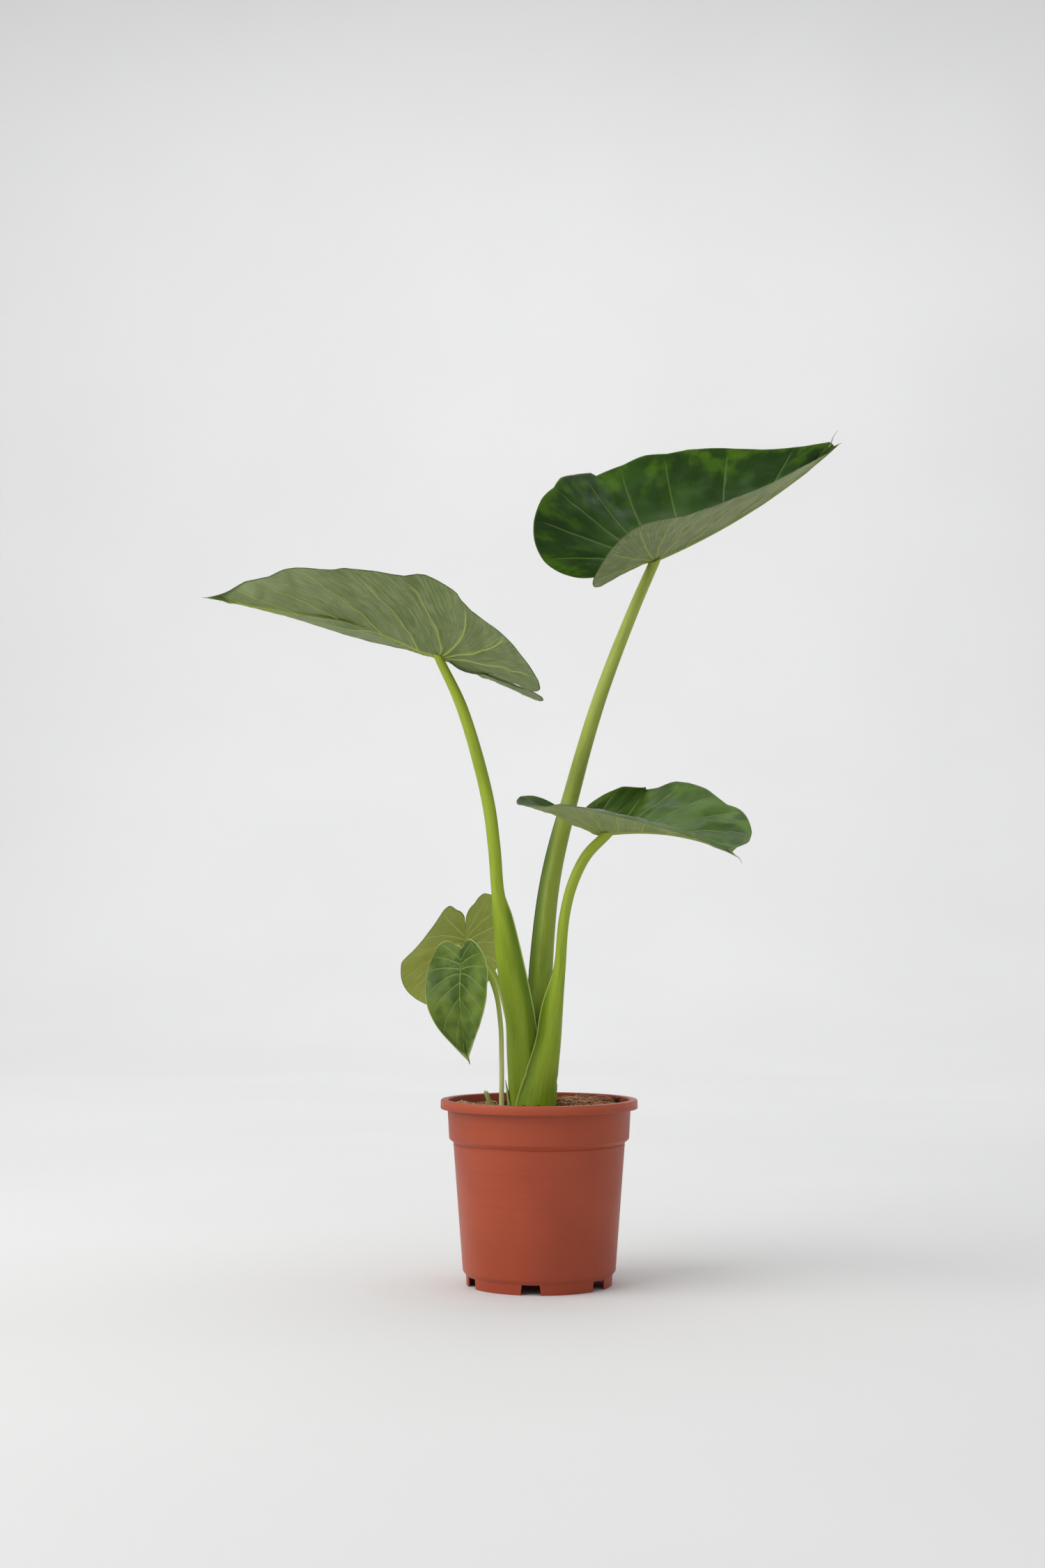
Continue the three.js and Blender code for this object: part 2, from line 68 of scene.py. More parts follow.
def add_mesh(name, verts, faces, scale=MM):
    """An object of these points and faces, in the scene."""
    mesh = bpy.data.meshes.new(name)
    mesh.from_pydata((np.asarray(verts, float) * scale).tolist(), [], [list(map(int, f)) for f in faces])
    thing = bpy.data.objects.new(name, mesh)
    bpy.context.scene.collection.objects.link(thing)
    return thing


def new_piece(name, verts, faces, material, slot, nodes=(), attrs=None, sharp=None):
    """A smooth piece of the plant. attrs holds one float or 3-vector per point."""
    piece = add_mesh(name, verts, faces)
    mesh = piece.data
    for key, values in (attrs or {}).items():
        values = np.asarray(values, np.float32)
        kind, field = ("FLOAT_VECTOR", "vector") if values.ndim == 2 else ("FLOAT", "value")
        mesh.attributes.new(key, kind, "POINT").data.foreach_set(field, values.ravel())
    mesh.update()
    mesh.shade_smooth()
    if sharp:
        mesh.set_sharp_from_angle(angle=sharp * DEG)
    mesh.materials.append(material)
    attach(piece, BODY)
    if nodes:
        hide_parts(*nodes)


def join(faces, low, high, count, flip=False):
    """Adds the quads between two rings of count points that start at low and high."""
    for k in range(count):
        n = (k + 1) % count
        quad = [low + k, low + n, high + n, high + k]
        faces.append([quad[0], *quad[:0:-1]] if flip else quad)


def around(r, a):
    """x and y at radius r and angle a about the pot's axis."""
    return AXIS[0] + r * math.cos(a), AXIS[1] + r * math.sin(a)


def spline(points, t):
    """Uniform Catmull-Rom through points, t from 0 to 1."""
    points = np.asarray(points, float)
    n = len(points)
    place = (n - 1) * np.asarray(t, float)
    i = np.floor(place).astype(int)
    w = (place - i)[..., None]
    p0, p1 = points[np.where(i == 0, i, i - 1).clip(0, n - 1)], points[i.clip(0, n - 1)]
    p2, p3 = points[np.where(i > n - 2, n - 1, i + 1)], points[np.where(i > n - 3, n - 1, i + 2)]
    a, b = (p2 - p0) / 2, (p3 - p1) / 2
    return ((2 * p1 - 2 * p2 + a + b) * w + (3 * (p2 - p1) - 2 * a - b)) * w * w + a * w + p1


def rotation(turn, climb, roll):
    ct, st, cc, sc, cr, sr = (f(a * DEG) for a in (turn, climb, roll) for f in (math.cos, math.sin))
    rz = np.array([[ct, -st, 0], [st, ct, 0], [0, 0, 1]])
    ry = np.array([[cc, 0, -sc], [0, 1, 0], [sc, 0, cc]])
    rx = np.array([[1, 0, 0], [0, cr, -sr], [0, sr, cr]])
    return rz @ ry @ rx


# ---------- materials ----------


def srgb(r, g, b):
    """A colour given as 8-bit display values, as linear light."""
    return tuple((c / 255 / 12.92) if c <= 10 else ((c / 255 + 0.055) / 1.055) ** 2.4
                 for c in (r, g, b)) + (1.0,)


class Look:
    """A node material built one node at a time."""

    def __init__(self, name, roughness=0.5, specular=0.5):
        self.m = bpy.data.materials.new(name)
        self.m.use_nodes = True
        self.tree = self.m.node_tree
        self.shader = self.tree.nodes["Principled BSDF"]
        self.put(self.shader, {"Roughness": roughness, "Specular IOR Level": specular})
        self.place = self.tree.nodes.new("ShaderNodeTexCoord").outputs["Object"]

    def put(self, node, values):
        """Sets a node's sockets, by name or number, each to a value or another node's socket."""
        for key, value in values.items():
            if isinstance(value, bpy.types.NodeSocket):
                self.tree.links.new(value, node.inputs[key])
            elif value is not None:
                node.inputs[key].default_value = value

    def node(self, kind, out, values, **settings):
        n = self.tree.nodes.new("ShaderNode" + kind)
        for key, value in settings.items():
            setattr(n, key, value)
        self.put(n, values)
        return n.outputs[out]

    def attr(self, name, out="Fac"):
        return self.node("Attribute", out, {}, attribute_name=name)

    def stretch(self, vector, scale):
        return self.node("Mapping", "Vector", {"Vector": vector, "Scale": scale})

    def noise(self, vector=None, scale=10.0, detail=3.0, rough=0.55, distortion=0.0):
        return self.node("TexNoise", "Fac", {
            "Vector": self.place if vector is None else vector, "Scale": scale, "Detail": detail,
            "Roughness": rough, "Distortion": distortion})

    def fit(self, value, low, high, to_low=0.0, to_high=1.0):
        return self.node("MapRange", 0, dict(enumerate((value, low, high, to_low, to_high))),
                         interpolation_type="SMOOTHSTEP")

    def maths(self, op, a, b=0.0):
        return self.node("Math", 0, {0: a, 1: b}, operation=op)

    def mix(self, share, a, b):
        return self.node("Mix", 2, {0: share, 6: a, 7: b}, data_type="RGBA")

    def coats(self, colour, *coats):
        """Lays each coat (mask, low, high, share, colour) over the one before."""
        for mask, low, high, share, coat in coats:
            colour = self.mix(self.fit(mask, low, high, 0.0, share), colour, coat)
        return colour

    def bump(self, height, distance, strength=1.0, under=None):
        return self.node("Bump", "Normal", {
            "Strength": strength, "Distance": distance, "Height": height, "Normal": under})

    def done(self, colour, roughness=None, normal=None):
        self.put(self.shader, {"Base Color": colour, "Roughness": roughness, "Normal": normal})
        return self.m


UNDER_ROUGHNESS = 0.62
DRY_TIP = srgb(120, 105, 50)


def leaf_material(name, colours, gloss=(0.3, 0.45), patch=14.0):
    """colours: above; its lighter patches, partly the leaf's own mottling and partly painted sheen;
    its painted light shining through; below and its lighter tone, for streaks and for painted light
    towards the tip; the veins above and below; the edge. gloss is the least and most roughness above."""
    top, top_pale_and_sheen, top_painted_backlight, under, under_light, vein_top, vein_under, edge = (srgb(*c) for c in colours)
    k = Look(name, specular=0.24)
    grain = k.attr("grain", "Vector")
    streaks = k.noise(k.stretch(grain, (1.0, 0.06, 1.0)), scale=0.55, detail=4.0, rough=0.6)
    fine = k.noise(k.stretch(grain, (1.0, 0.12, 1.0)), scale=1.6, detail=2.0)
    broad = k.noise(scale=patch, detail=3.0, distortion=0.4)
    blotch = k.noise(scale=patch * 2.2, detail=3.0, distortion=0.8)
    cells = k.noise(scale=420.0, detail=2.0)
    vein, above = k.attr("vein"), k.attr("upper")
    # Painted light shining through the blade: yellow-green spots, strongest towards the margin of the left
    # half.
    patches = k.maths("MULTIPLY", k.fit(k.noise(k.stretch(grain, (0.5, 0.35, 1.0)), scale=0.09),
                                        0.46, 0.66), k.fit(k.attr("painted_backlight"), 0.0, 1.0))
    # Lighter patches above: partly the leaf's own mottling, partly painted sheen.
    upper = k.mix(k.fit(broad, 0.35, 0.68), top, top_pale_and_sheen)
    upper = k.coats(k.mix(k.maths("MULTIPLY", patches, 0.6), upper, top_painted_backlight),
                    (streaks, 0.52, 0.75, 0.3, top_pale_and_sheen), (vein, 0.25, 1.0, 0.85, vein_top))
    # Below: the streaks and blotches are the leaf's own tone; the lightening towards the tip is painted
    # light.
    lower = k.coats(k.mix(k.fit(streaks, 0.35, 0.7, 0.15, 0.62), under, under_light),
                    (k.attr("ahead"), 0.35, 0.95, 0.55, under_light), (blotch, 0.4, 0.64, 0.4, under),
                    (fine, 0.5, 0.8, 0.2, under_light), (vein, 0.2, 0.95, 0.95, vein_under))
    colour = k.coats(k.mix(above, lower, upper), (k.attr("margin"), 0.3, 0.9, 0.8, edge),
                     (k.attr("tip"), 0.35, 0.9, 0.75, DRY_TIP))
    shine = k.maths("SUBTRACT", k.fit(broad, 0.3, 0.7, *gloss), UNDER_ROUGHNESS)
    rough = k.maths("ADD", k.maths("MULTIPLY", above, shine), UNDER_ROUGHNESS)
    height = k.maths("ADD", k.maths("MULTIPLY", streaks, 0.6), k.maths("MULTIPLY", fine, 0.4))
    return k.done(colour, rough, k.bump(cells, 0.00005, 0.4, under=k.bump(height, 0.0009, 0.35)))


def stalk_material(name, *colours):
    """colours: at the foot and at the top, the tall stalks' paler top partly painted light; dark
    bands, also painted shade in the sheath's hollow; pale lines and the sheath's edge.
    """
    low, high, dark, pale, edge = (srgb(*c) for c in colours)
    k = Look(name, roughness=0.38, specular=0.3)
    grain = k.attr("grain", "Vector")
    lines = k.noise(k.stretch(grain, (1.0, 0.018, 1.0)), scale=1.7, detail=3.0, rough=0.6)
    broad = k.noise(k.stretch(grain, (0.25, 0.03, 1.0)), scale=0.5, detail=2.0)
    speck = k.noise(scale=260.0, detail=1.0)
    # The broad dark bands are the stalk's own tone; the shade coat is painted shade in the sheath's hollow.
    colour = k.coats(k.mix(k.attr("rise"), low, high), (broad, 0.42, 0.7, 0.3, dark),
                     (lines, 0.52, 0.78, 0.45, pale), (k.attr("shade"), 0.0, 1.0, 0.8, dark),
                     (k.attr("margin"), 0.35, 0.95, 0.85, edge))
    return k.done(colour, k.fit(lines, 0.3, 0.7, 0.34, 0.5),
                  k.bump(speck, 0.00006, 0.35, under=k.bump(lines, 0.0009, 0.5)))


def pot_material():
    k = Look("pot_plastic_look", roughness=0.45, specular=0.4)
    broad = k.noise(scale=9.0, detail=2.0)
    fine = k.noise(scale=900.0, detail=2.0)
    rings = k.noise(k.stretch(k.place, (2.0, 2.0, 330.0)), scale=1.0, detail=2.0)
    scuff = k.noise(k.stretch(k.place, (18.0, 18.0, 240.0)), scale=1.6, detail=4.0, rough=0.7)
    dust = k.noise(scale=34.0, detail=5.0, rough=0.7)
    # The last coat lightens the rim's outer top corner.
    colour = k.coats(k.mix(k.fit(broad, 0.3, 0.7), srgb(170, 72, 40), srgb(158, 64, 34)),
                     (rings, 0.45, 0.8, 0.22, srgb(146, 58, 32)), (scuff, 0.7, 0.82, 0.5, srgb(196, 108, 76)),
                     (dust, 0.62, 0.8, 0.25, srgb(168, 96, 66)),
                     (k.attr("rim_corner_band"), 0.0, 1.0, 0.35, srgb(200, 104, 70)))
    return k.done(colour, k.fit(broad, 0.3, 0.7, 0.38, 0.5),
                  k.bump(fine, 0.00005, 0.35, under=k.bump(rings, 0.0002, 0.35)))


def ground_material(name, dark, light, scale=260.0, bump=0.0012):
    dark, light = srgb(*dark), srgb(*light)
    bright = tuple(min(c * 1.8, 1.0) for c in light[:3]) + (1.0,)
    k = Look(name, roughness=0.93, specular=0.25)
    coarse = k.noise(scale=scale * 0.25, detail=5.0, rough=0.7)
    fine = k.noise(scale=scale, detail=4.0, rough=0.7)
    colour = k.coats(k.mix(k.fit(coarse, 0.35, 0.65), dark, light), (fine, 0.58, 0.75, 0.6, bright))
    return k.done(colour, k.fit(fine, 0.3, 0.7, 0.85, 1.0), k.bump(fine, bump, 0.8))


def fibre_material(name, dark, light):
    dark, light = srgb(*dark), srgb(*light)
    k = Look(name, roughness=0.7, specular=0.3)
    lines = k.noise(k.stretch(k.attr("grain", "Vector"), (1.0, 0.05, 1.0)), scale=3.0, detail=3.0)
    colour = k.coats(k.mix(k.attr("tint"), dark, light), (lines, 0.3, 0.7, 0.35, dark))
    return k.done(colour, k.fit(lines, 0.3, 0.7, 0.6, 0.85), k.bump(lines, 0.0002, 0.5))


# ---------- leaves ----------

HALF_OUTLINE = [
    (1, 0), (0.93, 0.035), (0.8, 0.25), (0.55, 0.66), (0.25, 0.94), (-0.1, 1),
    (-0.5, 0.95), (-0.85, 0.76), (-1, 0.48), (-0.85, 0.21), (-0.45, 0.06), (0, 0),
]
SIDE_U, CLOSING_U = 5 / 11, 9 / 11  # where the outline's side point and its sinus begin
SHOULDER_U, SHOULDER_SPREAD = 0.17, 0.09
NO_BEND = 1e-4  # degrees, in place of none
THICKNESS = 0.8
VEIN_U = (0.09, 0.165, 0.24, 0.325, 0.405, 0.47, 0.56, 0.65, 0.745)

# turn, climb, roll; length, lobe, sinus; droop, lobeDroop; sway, lobeSway; then for each half
# width, fold, foldTip, foldLobe, curl, shoulder and the margin's lifts.
LEAVES = {
    "leaf_left": dict(
        place=(181.3, 19, 19), size=(232, 106, 8), bend=(10, 8), sway=(-3, -3.5),
        left=(111.5, 5, 7, -15, 5, 0.4, (6.5, 0, -1.5, -4, -5, -5.5, -6, -6)),
        right=(118, 23, 2, 2, 1.5, -0.1, (0, -1, -3, 5, -0.5, -1, 4.5, 0.5))),
    "leaf_top": dict(
        place=(15, 24, -4.5), size=(245, 85, 2), bend=(-18, 22), sway=(2, 5),
        left=(126, 53, 8, 29, 27, 0.1, (6, 4, -2.5, -5, 5, 0.5, 1, -2)),
        right=(115.5, 5.5, -5, 9, 2, 0.3, (1, 1.5, 0, 1, 5.5, 0, -0.5, 0.5))),
    "leaf_right": dict(
        place=(-36.5, 4, -27.5), size=(164, 66.5, 8.5), bend=(31.5, -53), sway=(-2, -9.5),
        left=(93, 38.5, 5, 9, 43.5, 0.7, (0.5, -2, 0, 1, -2, 4.5, 2, 0.5)),
        right=(83, 3, -17.5, -10, -30.5, 0.4, (0, 0, -0.5, 2.5, 2.5, -7, 3.5, 4))),
    "leaf_small_front": dict(
        place=(-107.5, -80.5, 20), size=(86.5, 33, 25.5), bend=(31, -10), sway=(-0.5, 2),
        left=(37, 10.5, 6, 20, -12, 0, (0.5, -0.5, -1.5, 1.5, -1, -0.5, 1, -2)),
        right=(38.5, 8.5, 23, -8, -6.5, 0, (2, -1.5, 1, 0.5, -1.5, 2, -1, -1))),
    "leaf_small_back": dict(
        place=(99.5, -62, -18), size=(91, 49.5, 22.5), bend=(-7, -19), sway=(2, -1.5),
        left=(74, -6, 15, -32.5, -8, 0, (1, 1, -2, 1.5, -1.5, 0.5, 1.5, -3)),
        right=(71, 20, 2.5, 14, -4.5, 0, (2, -1.5, 1, 0.5, -1.5, 1.5, -1.5, 0.5))),
}


def half_surface(leaf, side, u, v):
    """The middle surface of one half about the stalk's end, and its flat coordinates."""
    width, fold0, fold_tip, fold_lobe, curl0, shoulder, edge = leaf[side]
    sign = 1 if side == "left" else -1
    length, lobe, sinus = leaf["size"]
    rim = spline(HALF_OUTLINE, u)
    rx, ry = rim[..., 0], rim[..., 1]
    rim_x = np.where(rx > 0, rx * length, rx * lobe)
    rim_x = rim_x - sinus * np.clip((u - CLOSING_U) / (1 - CLOSING_U), 0, None)
    rim_y = ry * width * (1 + shoulder * np.exp(-(((u - SHOULDER_U) / SHOULDER_SPREAD) ** 2)))
    rib_x = np.where(u < SIDE_U, length * np.clip(1 - u / SIDE_U, 0, None) ** 1.1,
                     -sinus * (u - SIDE_U) / (1 - SIDE_U))
    along = rib_x + (rim_x - rib_x) * v
    across = rim_y * v
    ahead, behind = np.maximum(along, 0), np.maximum(-along, 0)
    to_tip, to_lobe = ahead / length, behind / lobe
    fold = DEG * (fold0 + fold_tip * to_tip + fold_lobe * to_lobe)
    curl = DEG * (curl0 or NO_BEND)
    end = fold + curl * across / width
    radius = width / curl
    lifts = [[0]] + [[e] for e in edge] + [[0]]
    lift = spline(lifts, u)[..., 0] * v * v
    y = radius * (np.sin(end) - np.sin(fold)) - lift * np.sin(end)
    z = -radius * (np.cos(end) - np.cos(fold)) + lift * np.cos(end)
    bend = DEG * (leaf["bend"][0] or NO_BEND) / length
    lobe_bend = DEG * (leaf["bend"][1] or NO_BEND) / lobe
    pitch = lobe_bend * behind - bend * ahead
    rib_place = np.sin(bend * ahead) / bend - np.sin(lobe_bend * behind) / lobe_bend
    rib_drop = (1 - np.cos(bend * ahead)) / bend + (1 - np.cos(lobe_bend * behind)) / lobe_bend
    local = np.stack([
        rib_place - np.sin(pitch) * z,
        sign * y + leaf["sway"][0] * to_tip ** 2 + leaf["sway"][1] * to_lobe ** 2,
        -rib_drop + np.cos(pitch) * z,
    ], -1)
    return local @ rotation(*leaf["place"]).T, along, across


def root_of(name):
    """Where the stalk meets the blade, from the CAD node's box."""
    leaf = LEAVES[name]
    stations, strips = (20, 4) if "small" in name else (26, 5)
    u, v = np.meshgrid(np.linspace(0, 1, stations + 1), np.linspace(0, 1, strips + 1), indexing="ij")
    points = np.concatenate([half_surface(leaf, s, u, v)[0].reshape(-1, 3) for s in ("left", "right")])
    lo, hi = box_mm(name)
    return (lo + hi) / 2 - (points.min(0) + points.max(0)) / 2


def up_of(name):
    leaf = LEAVES[name]
    a, b = DEG * leaf["left"][1], DEG * leaf["right"][1]
    up = np.array([0, math.sin(b) - math.sin(a), math.cos(a) + math.cos(b)])
    return rotation(*leaf["place"]) @ (up / np.linalg.norm(up))


def u_columns(fine, veins):
    """Columns from tip to notch, close together beside each vein."""
    near = [0.0013, 0.0028, 0.005, 0.009] if fine else [0.003, 0.007, 0.012]
    marks = {0.0, 1.0, 0.004, 0.01, 0.018, 0.996, 0.99}
    for vein in veins:
        marks.add(vein)
        marks.update(vein + side * d for d in near for side in (-1, 1))
    knots = sorted(marks)
    step = 0.0085 if fine else 0.014
    out = [knots[0]]
    for k in knots[1:]:
        start = out[-1]
        gap = k - start
        pieces = max(1, math.ceil(gap / step - 0.2))
        out.extend(start + gap * (i + 1) / pieces for i in range(pieces))
    return np.array(out)


def v_rows(fine):
    near = [0, 0.006, 0.012, 0.019, 0.028, 0.04, 0.055, 0.075]
    far = [0.9, 0.93, 0.955, 0.975, 0.99, 1.0]
    middle = np.linspace(0.1, 0.87, 20 if fine else 13)
    return np.array(near + list(middle) + far)


def wavy(points, scale, seed):
    offset = Vector((seed * 7.3, seed * 3.1, seed * 5.7))
    return np.array([noise.noise(Vector(p) * scale + offset) for p in points])


def unit(vectors, least=1e-12):
    return vectors / np.maximum(np.linalg.norm(vectors, axis=-1, keepdims=True), least)


VEIN_HEIGHT = 0.62  # of its half-width
VEIN_THINS = 0.62  # of its width, from midrib to margin
LOBE_RIB_FADE = 12.0
EDGE_BAND, DRY_REACH = 0.9, 5.0  # how far the edge's colour and the dry tip reach in


def blade_half(leaf, side, u0, v, seed, rib, quilt, side_vein, veins, sweep, frill, reach, arch):
    """One half's middle surface, its normals, and its lifts, ridges and vein mask."""
    sign = 1 if side == "left" else -1
    eps = 1e-4
    length = leaf["size"][0]
    u = u0 - sweep * v ** 0.9 * np.sin(math.pi * u0)
    point, along, across = half_surface(leaf, side, u, v)

    def slope(du, dv):
        return half_surface(leaf, side, np.clip(u + du, 0, 1), np.clip(v + dv, 0, 1))[0] \
            - half_surface(leaf, side, np.clip(u - du, 0, 1), np.clip(v - dv, 0, 1))[0]

    du, dv = slope(eps, 0), slope(0, eps)
    normal = np.cross(dv, du) * sign
    size = np.linalg.norm(normal, axis=-1, keepdims=True)
    normal = np.where(size > 1e-12, normal / np.maximum(size, 1e-12), 0)
    spread = np.linalg.norm(du, axis=-1) / (2 * eps)  # millimetres for each unit of u
    vein, ridge = np.zeros_like(u), np.zeros_like(u)
    for at in veins:
        wide = side_vein * (1 - VEIN_THINS * v) * (1.1 if at > 0.45 else 1.0)
        away = np.abs(u0 - at) * np.maximum(spread, 60) * (1 - 0.15 * v)
        mask = np.exp(-(away / wide) ** 2) * np.clip((1.02 - v) / 0.16, 0, 1)
        if at > SIDE_U:
            mask = mask * np.clip(v / 0.05, 0.35, 1)
        vein = np.maximum(vein, mask)
        ridge = np.maximum(ridge, mask * wide * VEIN_HEIGHT)
    taper = np.clip(1 - np.maximum(along, 0) / length, 0, 1)
    rib_wide = (rib * 0.95) * (0.2 + 0.8 * taper)
    rib_mask = np.exp(-(across / np.maximum(rib_wide, 0.3)) ** 2)
    rib_mask = np.where(u0 > SIDE_U, rib_mask * np.exp(-np.maximum(-along, 0) / LOBE_RIB_FADE), rib_mask)
    ridge = np.maximum(ridge, rib_mask * rib * (0.12 + 0.88 * taper ** 0.8))
    vein = np.maximum(vein, rib_mask)
    # The blade swells upward between veins.
    marks = np.array([0.0, *veins, 0.9, 1.0])
    cell = np.searchsorted(marks, u0.clip(0, 0.9999), side="right") - 1
    share = (u0 - marks[cell]) / (marks[cell + 1] - marks[cell])
    swell = np.sin(math.pi * share.clip(0, 1)) ** 0.8 * np.sin(math.pi * v ** 0.8) ** 0.8
    swell = swell * np.clip(spread / 350, 0, 1)
    flat = np.stack([along, across * sign, 0 * along], -1).reshape(-1, 3)
    bumps, small, ripple = (wavy(flat, 1 / wave, seed + shift).reshape(u.shape)
                            for wave, shift in ((17.0, sign < 0), (6.0, 5), (9.0, 9)))
    fade = np.sin(math.pi * np.clip(v, 0, 1)) ** 0.5
    lift = quilt * (swell * (0.8 + 0.5 * bumps)) + fade * (0.9 * bumps + 0.3 * small) * quilt
    lift = lift + 0.5 * v ** 6 * ripple
    if arch:
        lift = lift + np.interp(u, *zip(*arch)) * (1 - v) ** 1.6
    if side in frill:
        lift = lift + np.interp(u, *zip(*frill[side])) * v ** 3.5
    if side in reach:
        point = point + unit(dv) * (np.interp(u, *zip(*reach[side])) * v ** 4)[..., None]
    edge_away = (1 - v) * np.maximum(across, 1e-6) / np.maximum(v, 1e-3)
    return dict(point=point, normal=normal, lift=lift, ridge=ridge, vein=vein,
                margin=np.exp(-edge_away / EDGE_BAND), along=along, across=across)


def make_leaf(name, seed, rib=2.7, quilt=1.1, side_vein=1.5, veins=VEIN_U, sweep=0.1,
              frill=None, reach=None, arch=None, spurs=(), **look):
    """A thin closed blade with raised veins below, grooves above and a rounded margin.

    frill lifts a half's margin, reach lengthens it and arch lifts the midrib, as pairs of u and
    millimetres. sweep leans the side veins towards the tip.
    """
    leaf = LEAVES[name]
    root = root_of(name)
    length = leaf["size"][0]
    fine = "small" not in name
    us, vs = u_columns(fine, veins), v_rows(fine)
    last_u, last_v = len(us) - 1, len(vs) - 1
    u, v = np.meshgrid(us, vs, indexing="ij")
    halves = {side: blade_half(leaf, side, u, v, seed, rib, quilt, side_vein, veins, sweep,
                               frill or {}, reach or {}, arch) for side in ("left", "right")}
    # The halves share their normals along the midrib, and one at the tip and one at the notch.
    shared = unit(halves["left"]["normal"][:, 0] + halves["right"]["normal"][:, 0], 1e-9)
    for h in halves.values():
        h["normal"][:, 0] = shared
        h["lift"][:, 0] = np.interp(us, *zip(*arch)) if arch else 0
        for end, near in ((0, 1), (-1, -2)):
            both = halves["left"]["normal"][near, 1] + halves["right"]["normal"][near, 1]
            h["normal"][end] = both / np.linalg.norm(both)
            h["lift"][end] = 0
            h["ridge"][end] = 0.05

    verts, faces = [], []
    attrs = {k: [] for k in ("upper", "vein", "margin", "grain", "tip", "painted_backlight", "ahead")}
    index = {}

    def vertex(side, face, i, j):
        pointed = i in (0, last_u)
        key = (face, i, 0) if (j == 0 or pointed) else (face, i, j, side)
        if key in index:
            return index[key]
        h = halves[side]
        if pointed:
            j = 0
        half = THICKNESS / 2 * (0.6 if j == last_v else 1.0) * min(1.0, 0.35 + 4 * us[i])
        off = h["lift"][i, j]
        if face == "top":
            off = half + off - 0.3 * h["ridge"][i, j]
        elif face == "under":
            off = -half + off - h["ridge"][i, j]
        p = root + h["point"][i, j] + h["normal"][i, j] * off
        if face == "rim" and not pointed:
            p = p + unit(h["point"][i, last_v] - h["point"][i, last_v - 1], 1e-9) * 0.3
        index[key] = len(verts)
        verts.append(p)
        to_tip = math.hypot(length - h["along"][i, j], h["across"][i, j])
        for attr, value in dict(
                upper={"top": 1.0, "under": 0.0, "rim": 0.5}[face],
                vein=h["vein"][i, j],
                margin=h["margin"][i, j] if us[i] > 0.01 else 0.6,
                grain=(u[i, j] * 520, v[i, j] * 110, 9.0 if side == "left" else -9.0),
                tip=math.exp(-to_tip / DRY_REACH),
                # painted light shining through, growing towards the margin
                painted_backlight=max(0.0, (v[i, j] - 0.35) / 0.65) * (1.0 if side == "left" else 0.3),
                # painted light: the underside grows lighter towards the tip
                ahead=max(0.0, h["along"][i, j] / length)).items():
            attrs[attr].append(value)
        return index[key]

    def add(corners, flip):
        corners = [vertex(*c) for c in corners][::-1 if flip else 1]
        corners = [c for i, c in enumerate(corners) if c not in corners[:i]]
        if len(corners) > 2:
            faces.append(corners)

    for side in ("left", "right"):
        flip = side == "right"
        for i in range(last_u):
            for j in range(last_v):
                for face in ("top", "under"):
                    add([(side, face, a, b) for a, b in ((i, j), (i, j + 1), (i + 1, j + 1), (i + 1, j))],
                        flip != (face == "under"))
            for upper, lower in (("top", "rim"), ("rim", "under")):
                add([(side, upper, i, last_v), (side, lower, i, last_v),
                     (side, lower, i + 1, last_v), (side, upper, i + 1, last_v)], flip)
    for spur in spurs:
        add_spur(halves, root, us, verts, faces, attrs, **spur)
    new_piece(name + "_blade", verts, faces, leaf_material(name + "_look", LEAF_COLOURS[name], **look),
              "leaf", [name], attrs)


SPUR_RINGS, SPUR_SIDES = 15, 8


def add_spur(halves, root, us, verts, faces, attrs, side, u, reach, radius=0.9, dry=0.5):
    """A fine curled point that stands out from the margin at u, along reach (millimetres)."""
    i = int(np.argmin(np.abs(us - u)))
    points = halves[side]["point"]
    start = root + (points[i, -1] if i else points[0, 0])
    inward = points[i, -3] - points[i, -1] if i else points[4, 0] - points[0, 0]
    inward = inward / np.linalg.norm(inward) * 5.0
    t = np.linspace(0, 1, SPUR_RINGS)
    path = spline([start + inward, start + inward * 0.2, *(start + np.array(r) for r in reach)], t)
    tube(path, radius * (1 - t ** 0.9 * 0.88), SPUR_SIDES, verts, faces)
    t = np.repeat(t, SPUR_SIDES)
    for key, value in (("upper", 0.3), ("vein", 0.6), ("margin", 0.2), ("painted_backlight", 0.0), ("ahead", 1.0)):
        attrs[key] += [value] * len(t)
    attrs["grain"] += [(0.0, x * 20, 0.0) for x in t]
    attrs["tip"] += [x * dry for x in t]


def tube(path, sizes, sides, verts, faces):
    """Adds a closed round tube along path to verts and faces."""
    base = len(verts)
    tangents = np.gradient(np.asarray(path), axis=0)
    side = np.cross(tangents[0], (0.3, 0.2, 0.93))
    for p, t, r in zip(path, tangents, sizes):
        t = t / np.linalg.norm(t)
        side = side - t * side.dot(t)
        side = side / np.linalg.norm(side)
        other = np.cross(t, side)
        for k in range(sides):
            a = 2 * math.pi * k / sides
            verts.append(p + r * (math.cos(a) * side + math.sin(a) * other))
    for low in range(base, len(verts) - sides, sides):
        join(faces, low, low + sides, sides)
    faces.append([base + k for k in range(sides)][::-1])
    faces.append([len(verts) - sides + k for k in range(sides)])
